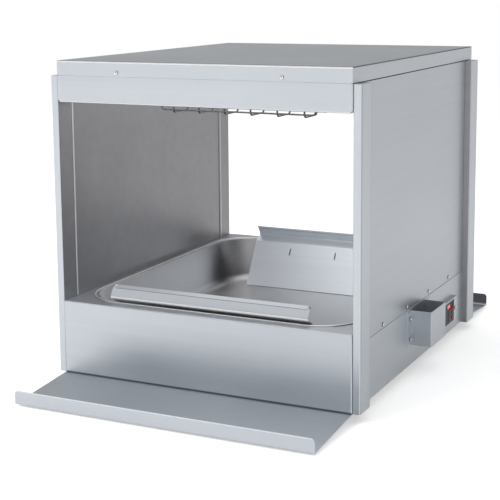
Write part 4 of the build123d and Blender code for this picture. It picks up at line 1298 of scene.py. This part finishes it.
class WARMER_OT_controller(bpy.types.Operator):
    """Controller face, lens, lit digits, buttons with their marks, and the power switch"""

    bl_idname = "warmer.controller"
    bl_label = "Controller"

    def execute(self, context):
        control = context.scene.warmer.control
        satin = moulded("satin_black_face", (0.012, 0.014, 0.020), 0.42, 1600.0)
        paint(satin, "control_face")
        glossy = moulded("switch_black", (0.010, 0.010, 0.011), 0.28, 1200.0, 0.00001)
        paint(glossy, "switch_body", "switch_rocker")
        paint(moulded("module_black", (0.01, 0.01, 0.01), 0.6), "display_module")
        board = moulded("circuit_board", (0.02, 0.13, 0.05), 0.5, 400.0, 0.0001)
        paint(board, "control_board")
        paint(self.digits(control), "display_digits")
        paint(self.lens(), "display_lens")
        self.buttons(control)
        self.switch_marks()
        return {"FINISHED"}

    def digits(self, control):
        """Lit strokes, a little brighter in patches as real segments are."""
        finish = Finish("lit_digits")
        glow = finish.tones(finish.noise(420.0, 1.0), control.lit_color, 0.85, 1.0)
        return finish.set(
            Base_Color=glow,
            Roughness=0.5,
            Emission_Color=glow,
            Emission_Strength=control.lit_strength,
        )

    def lens(self):
        """Smoked red acrylic."""
        finish = Finish("smoked_red_lens")
        streak = finish.noise(300.0)
        return finish.set(
            Base_Color=finish.shades(streak, (0.62, 0.12, 0.10), (0.70, 0.15, 0.13)),
            Roughness=finish.spread(streak, 0.05, 0.10),
            Transmission_Weight=1.0,
            IOR=1.1,
        )

    def buttons(self, control):
        """Button caps and the dim marks on them: up, down, a bar and a ring; the marks glow
        faintly, a painted light, though they are no lamp.
        """
        cap = moulded("button_cap", (0.045, 0.018, 0.022), 0.38, 2500.0, 0.00001)
        finish = Finish("button_mark")
        ink = finish.tones(finish.noise(900.0, 1.0), control.mark_color, 0.8, 1.15)
        # A faint glow in the marks' own colour: painted light.
        finish.set(Base_Color=ink, Roughness=0.5, Emission_Color=ink, Emission_Strength=0.8)
        wide, tall, thin, hole, lift = 1.9, 1.3, 0.55, 1.15, 0.06
        marks = (
            ([(-wide, -tall), (wide, -tall), (0.0, wide)], None),
            ([(-wide, tall), (0.0, -wide), (wide, tall)], None),
            (rectangle(wide, thin), None),
            (circle(wide), circle(hole)),
        )
        for number, (outline, inner) in enumerate(marks, start=1):
            node = f"push_button_{number}"
            paint(cap, node)
            low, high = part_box(node)
            middle = (low + high) / 2
            face = Vector((high.x, middle.y, middle.z))
            mesh = self.mark(outline, inner, face, Vector((1, 0, 0)), lift)
            new_piece(f"button_mark_{number}", mesh, finish.material, node)

    def mark(self, outline, hole, middle, out, lift):
        """A mark that stands a little proud of a face and reaches into it, outlined in
        millimetres about its middle."""
        sunk = -0.1
        bm = bmesh.new()
        side, up = Vector((0, 1, 0)), Vector((-out.z, 0, out.x))

        def ring(points, height):
            return [
                bm.verts.new(middle + out * height * MM + side * y * MM + up * z * MM)
                for y, z in points
            ]

        front, back = ring(outline, lift), ring(outline, sunk)
        skirt(bm, front, back)
        if hole:
            inner_front, inner_back = ring(hole, lift), ring(hole, sunk)
            skirt(bm, front, inner_front)
            skirt(bm, back, inner_back)
            skirt(bm, inner_front, inner_back)
        else:
            bm.faces.new(front)
            bm.faces.new(back)
        return mesh_from(bm, "mark", math.radians(30))

    def switch_marks(self):
        """The bar and the ring moulded in the rocker."""
        finish = Finish("switch_white")
        ink = finish.shades(finish.noise(700.0, 1.0), (0.62, 0.62, 0.62), (0.74, 0.74, 0.74))
        finish.set(Base_Color=ink, Roughness=0.45)
        pivot_x, reach, tilt = 308.8 * MM, 4.35 * MM, math.radians(8)
        half_rocker, dish, off_middle, lift = 11.0, 0.8, 5.6, 0.35
        low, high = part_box("switch_rocker")
        out = Vector((math.cos(tilt), 0, math.sin(tilt)))
        up = Vector((-math.sin(tilt), 0, math.cos(tilt)))
        pivot = Vector((pivot_x, (low.y + high.y) / 2, (low.z + high.z) / 2))
        for name, outline, hole, height in (
            ("bar", rectangle(0.5, 1.9), None, -off_middle),
            ("ring", circle(2.0), circle(1.25), off_middle),
        ):
            # The rocker's face is dished, so a mark away from the middle stands further out.
            rise = dish * (height / half_rocker) ** 2
            middle = pivot + out * (reach + rise * MM) + up * height * MM
            mesh = self.mark(outline, hole, middle, out, lift)
            new_piece(f"switch_{name}", mesh, finish.material, "switch_rocker")


class WARMER_OT_stage(bpy.types.Operator):
    """Floor, soft light and the camera"""

    bl_idname = "warmer.stage"
    bl_label = "Stage"

    def execute(self, context):
        stage = context.scene.warmer.stage
        context.scene.view_settings.view_transform = "Standard"
        self.room(context.scene, stage)
        self.floor()
        self.lamps(stage)
        self.camera(context.scene, stage)
        return {"FINISHED"}

    def room(self, scene, stage):
        """White to the camera, bands of light to the steel, and an even soft light."""
        world = bpy.data.worlds.new("room")
        world.use_nodes = True
        scene.world = world
        net = Tree(world.node_tree)
        background = world.node_tree.nodes["Background"]
        _, along, height = net.split(net.add("ShaderNodeTexCoord").outputs["Generated"])
        bands = net.add("ShaderNodeValToRGB", Fac=net.spread(height, 0.0, 1.0, -1.0, 1.0))
        stops = bands.color_ramp
        for position, _ in ROOM_BANDS[1:-1]:
            stops.elements.new(position)
        for stop, (position, level) in zip(stops.elements, ROOM_BANDS):
            stop.position = position
            stop.color = (level, level, level, 1.0)
        # Brighter in front of the object than behind it.
        facing = net.spread(along, 1.16, 0.72, -0.9, 0.9)
        seen = net.both(bands.outputs["Color"], facing)
        rays = net.add("ShaderNodeLightPath").outputs
        camera = rays["Is Camera Ray"]
        sharp = net.sum(rays["Is Glossy Ray"], rays["Is Transmission Ray"], "MAXIMUM")
        mirrored = net.both(sharp, seen)
        soft = net.both(net.sum(1.0, sharp, "SUBTRACT"), stage.room_light)
        other = net.both(net.sum(1.0, camera, "SUBTRACT"), net.sum(mirrored, soft))
        background.inputs["Color"].default_value = (1.0, 1.0, 1.0, 1.0)
        net.feed(background.inputs["Strength"], net.sum(other, camera))

    def floor(self):
        """A wide pale floor that keeps the shadow."""
        half_size, drop = 4.5, 0.3 * MM
        bm = bmesh.new()
        bmesh.ops.create_grid(bm, x_segments=8, y_segments=8, size=half_size)
        for vert in bm.verts:
            vert.co.z = -drop
        floor = scene_object("floor", mesh_from(bm, "floor"))
        finish = Finish("pale_floor")
        tint = finish.shades(finish.noise(0.8), (0.86, 0.86, 0.86), (0.90, 0.90, 0.90))
        # Lifted for the camera alone, so that the floor is nearly white but keeps its shadow.
        lift = 0.42
        path = finish.add("ShaderNodeLightPath")
        finish.set(
            Base_Color=tint,
            Roughness=0.9,
            Emission_Color=(1.0, 1.0, 1.0, 1.0),
            Emission_Strength=finish.both(path.outputs["Is Camera Ray"], lift),
            Specular_IOR_Level=0.0,
        )
        floor.data.materials.append(finish.material)

    def lamps(self, stage):
        """Large soft lamps, and a faint one under the hood."""
        for name, watts, place, aim, size in (
            ("key", stage.key_watts, (-2.2, -2.8, 3.0), (-0.6, -0.8, 0.0), 3.0),
            ("fill", stage.fill_watts, (3.4, -0.6, 1.5), (0.0, 0.0, 0.3), 2.2),
            ("top", stage.top_watts, (0.0, 0.3, 3.2), (0.0, 0.0, 0.3), 2.4),
        ):
            holder = self.lamp(name, watts, place, "SQUARE", size, size)
            way = Vector(aim) - Vector(place)
            holder.rotation_mode = "QUATERNION"
            holder.rotation_quaternion = way.to_track_quat("-Z", "Y")
            holder.visible_glossy = False
        glow = self.lamp("glow", stage.glow_watts, (0.0, 0.0, 0.547), "RECTANGLE", 0.56, 0.68)
        glow.visible_camera = False

    def lamp(self, name, watts, place, shape, size, size_y):
        """An area lamp that faces down."""
        light = bpy.data.lights.new(name, "AREA")
        light.shape = shape
        light.size, light.size_y = size, size_y
        light.energy = watts
        holder = scene_object(name, light)
        holder.location = place
        return holder

    def camera(self, scene, stage):
        """Camera from its place, yaw, pitch and roll."""
        data = bpy.data.cameras.new("camera")
        data.sensor_width = 36.0
        data.lens = stage.lens
        data.shift_y = stage.shift
        data.clip_end = 50.0
        holder = scene_object("camera", data)
        cy, sy = math.cos(stage.yaw), math.sin(stage.yaw)
        cp, sp = math.cos(stage.pitch), math.sin(stage.pitch)
        forward = Vector((-sy * cp, cy * cp, -sp))
        right = Vector((cy, sy, 0.0))
        up = right.cross(forward)
        cr, sr = math.cos(stage.roll), math.sin(stage.roll)
        across_way, up_way = cr * right + sr * up, -sr * right + cr * up
        turn = Matrix((across_way, up_way, -forward)).transposed().to_4x4()
        holder.matrix_world = Matrix.Translation(stage.camera_place) @ turn
        scene.camera = holder


class WARMER_PT_sidebar(bpy.types.Panel):
    """The chip warmer's settings and the steps that make it"""

    bl_label = "Chip Warmer"
    bl_idname = "WARMER_PT_sidebar"
    bl_space_type = "VIEW_3D"
    bl_region_type = "UI"
    bl_category = "Chip Warmer"

    def draw(self, context):
        settings = context.scene.warmer
        for step, group in STEPS:
            box = self.layout.box()
            box.operator(step.bl_idname)
            if group:
                values = getattr(settings, group)
                for name in values.bl_rna.properties.keys():
                    if name not in ("rna_type", "name"):
                        box.prop(values, name)


STEPS = (
    (WARMER_OT_skins, "skin"),
    (WARMER_OT_heaters, None),
    (WARMER_OT_pan, "pan"),
    (WARMER_OT_ramps, "ramp"),
    (WARMER_OT_guards, "guard"),
    (WARMER_OT_screws, "screw"),
    (WARMER_OT_controller, "control"),
    (WARMER_OT_stage, "stage"),
)
CLASSES = (
    SkinSettings,
    PanSettings,
    RampSettings,
    GuardSettings,
    ScrewSettings,
    ControlSettings,
    StageSettings,
    WarmerSettings,
    *(step for step, _ in STEPS),
    WARMER_PT_sidebar,
)


def register():
    for made in CLASSES:
        bpy.utils.register_class(made)
    bpy.types.Scene.warmer = PointerProperty(type=WarmerSettings)


def unregister():
    del bpy.types.Scene.warmer
    for made in reversed(CLASSES):
        bpy.utils.unregister_class(made)


def main():
    register()
    bpy.ops.warmer.skins()
    bpy.ops.warmer.heaters()
    bpy.ops.warmer.pan()
    bpy.ops.warmer.ramps()
    bpy.ops.warmer.guards()
    bpy.ops.warmer.screws()
    bpy.ops.warmer.controller()
    bpy.ops.warmer.stage()


if __name__ == "__main__":
    main()
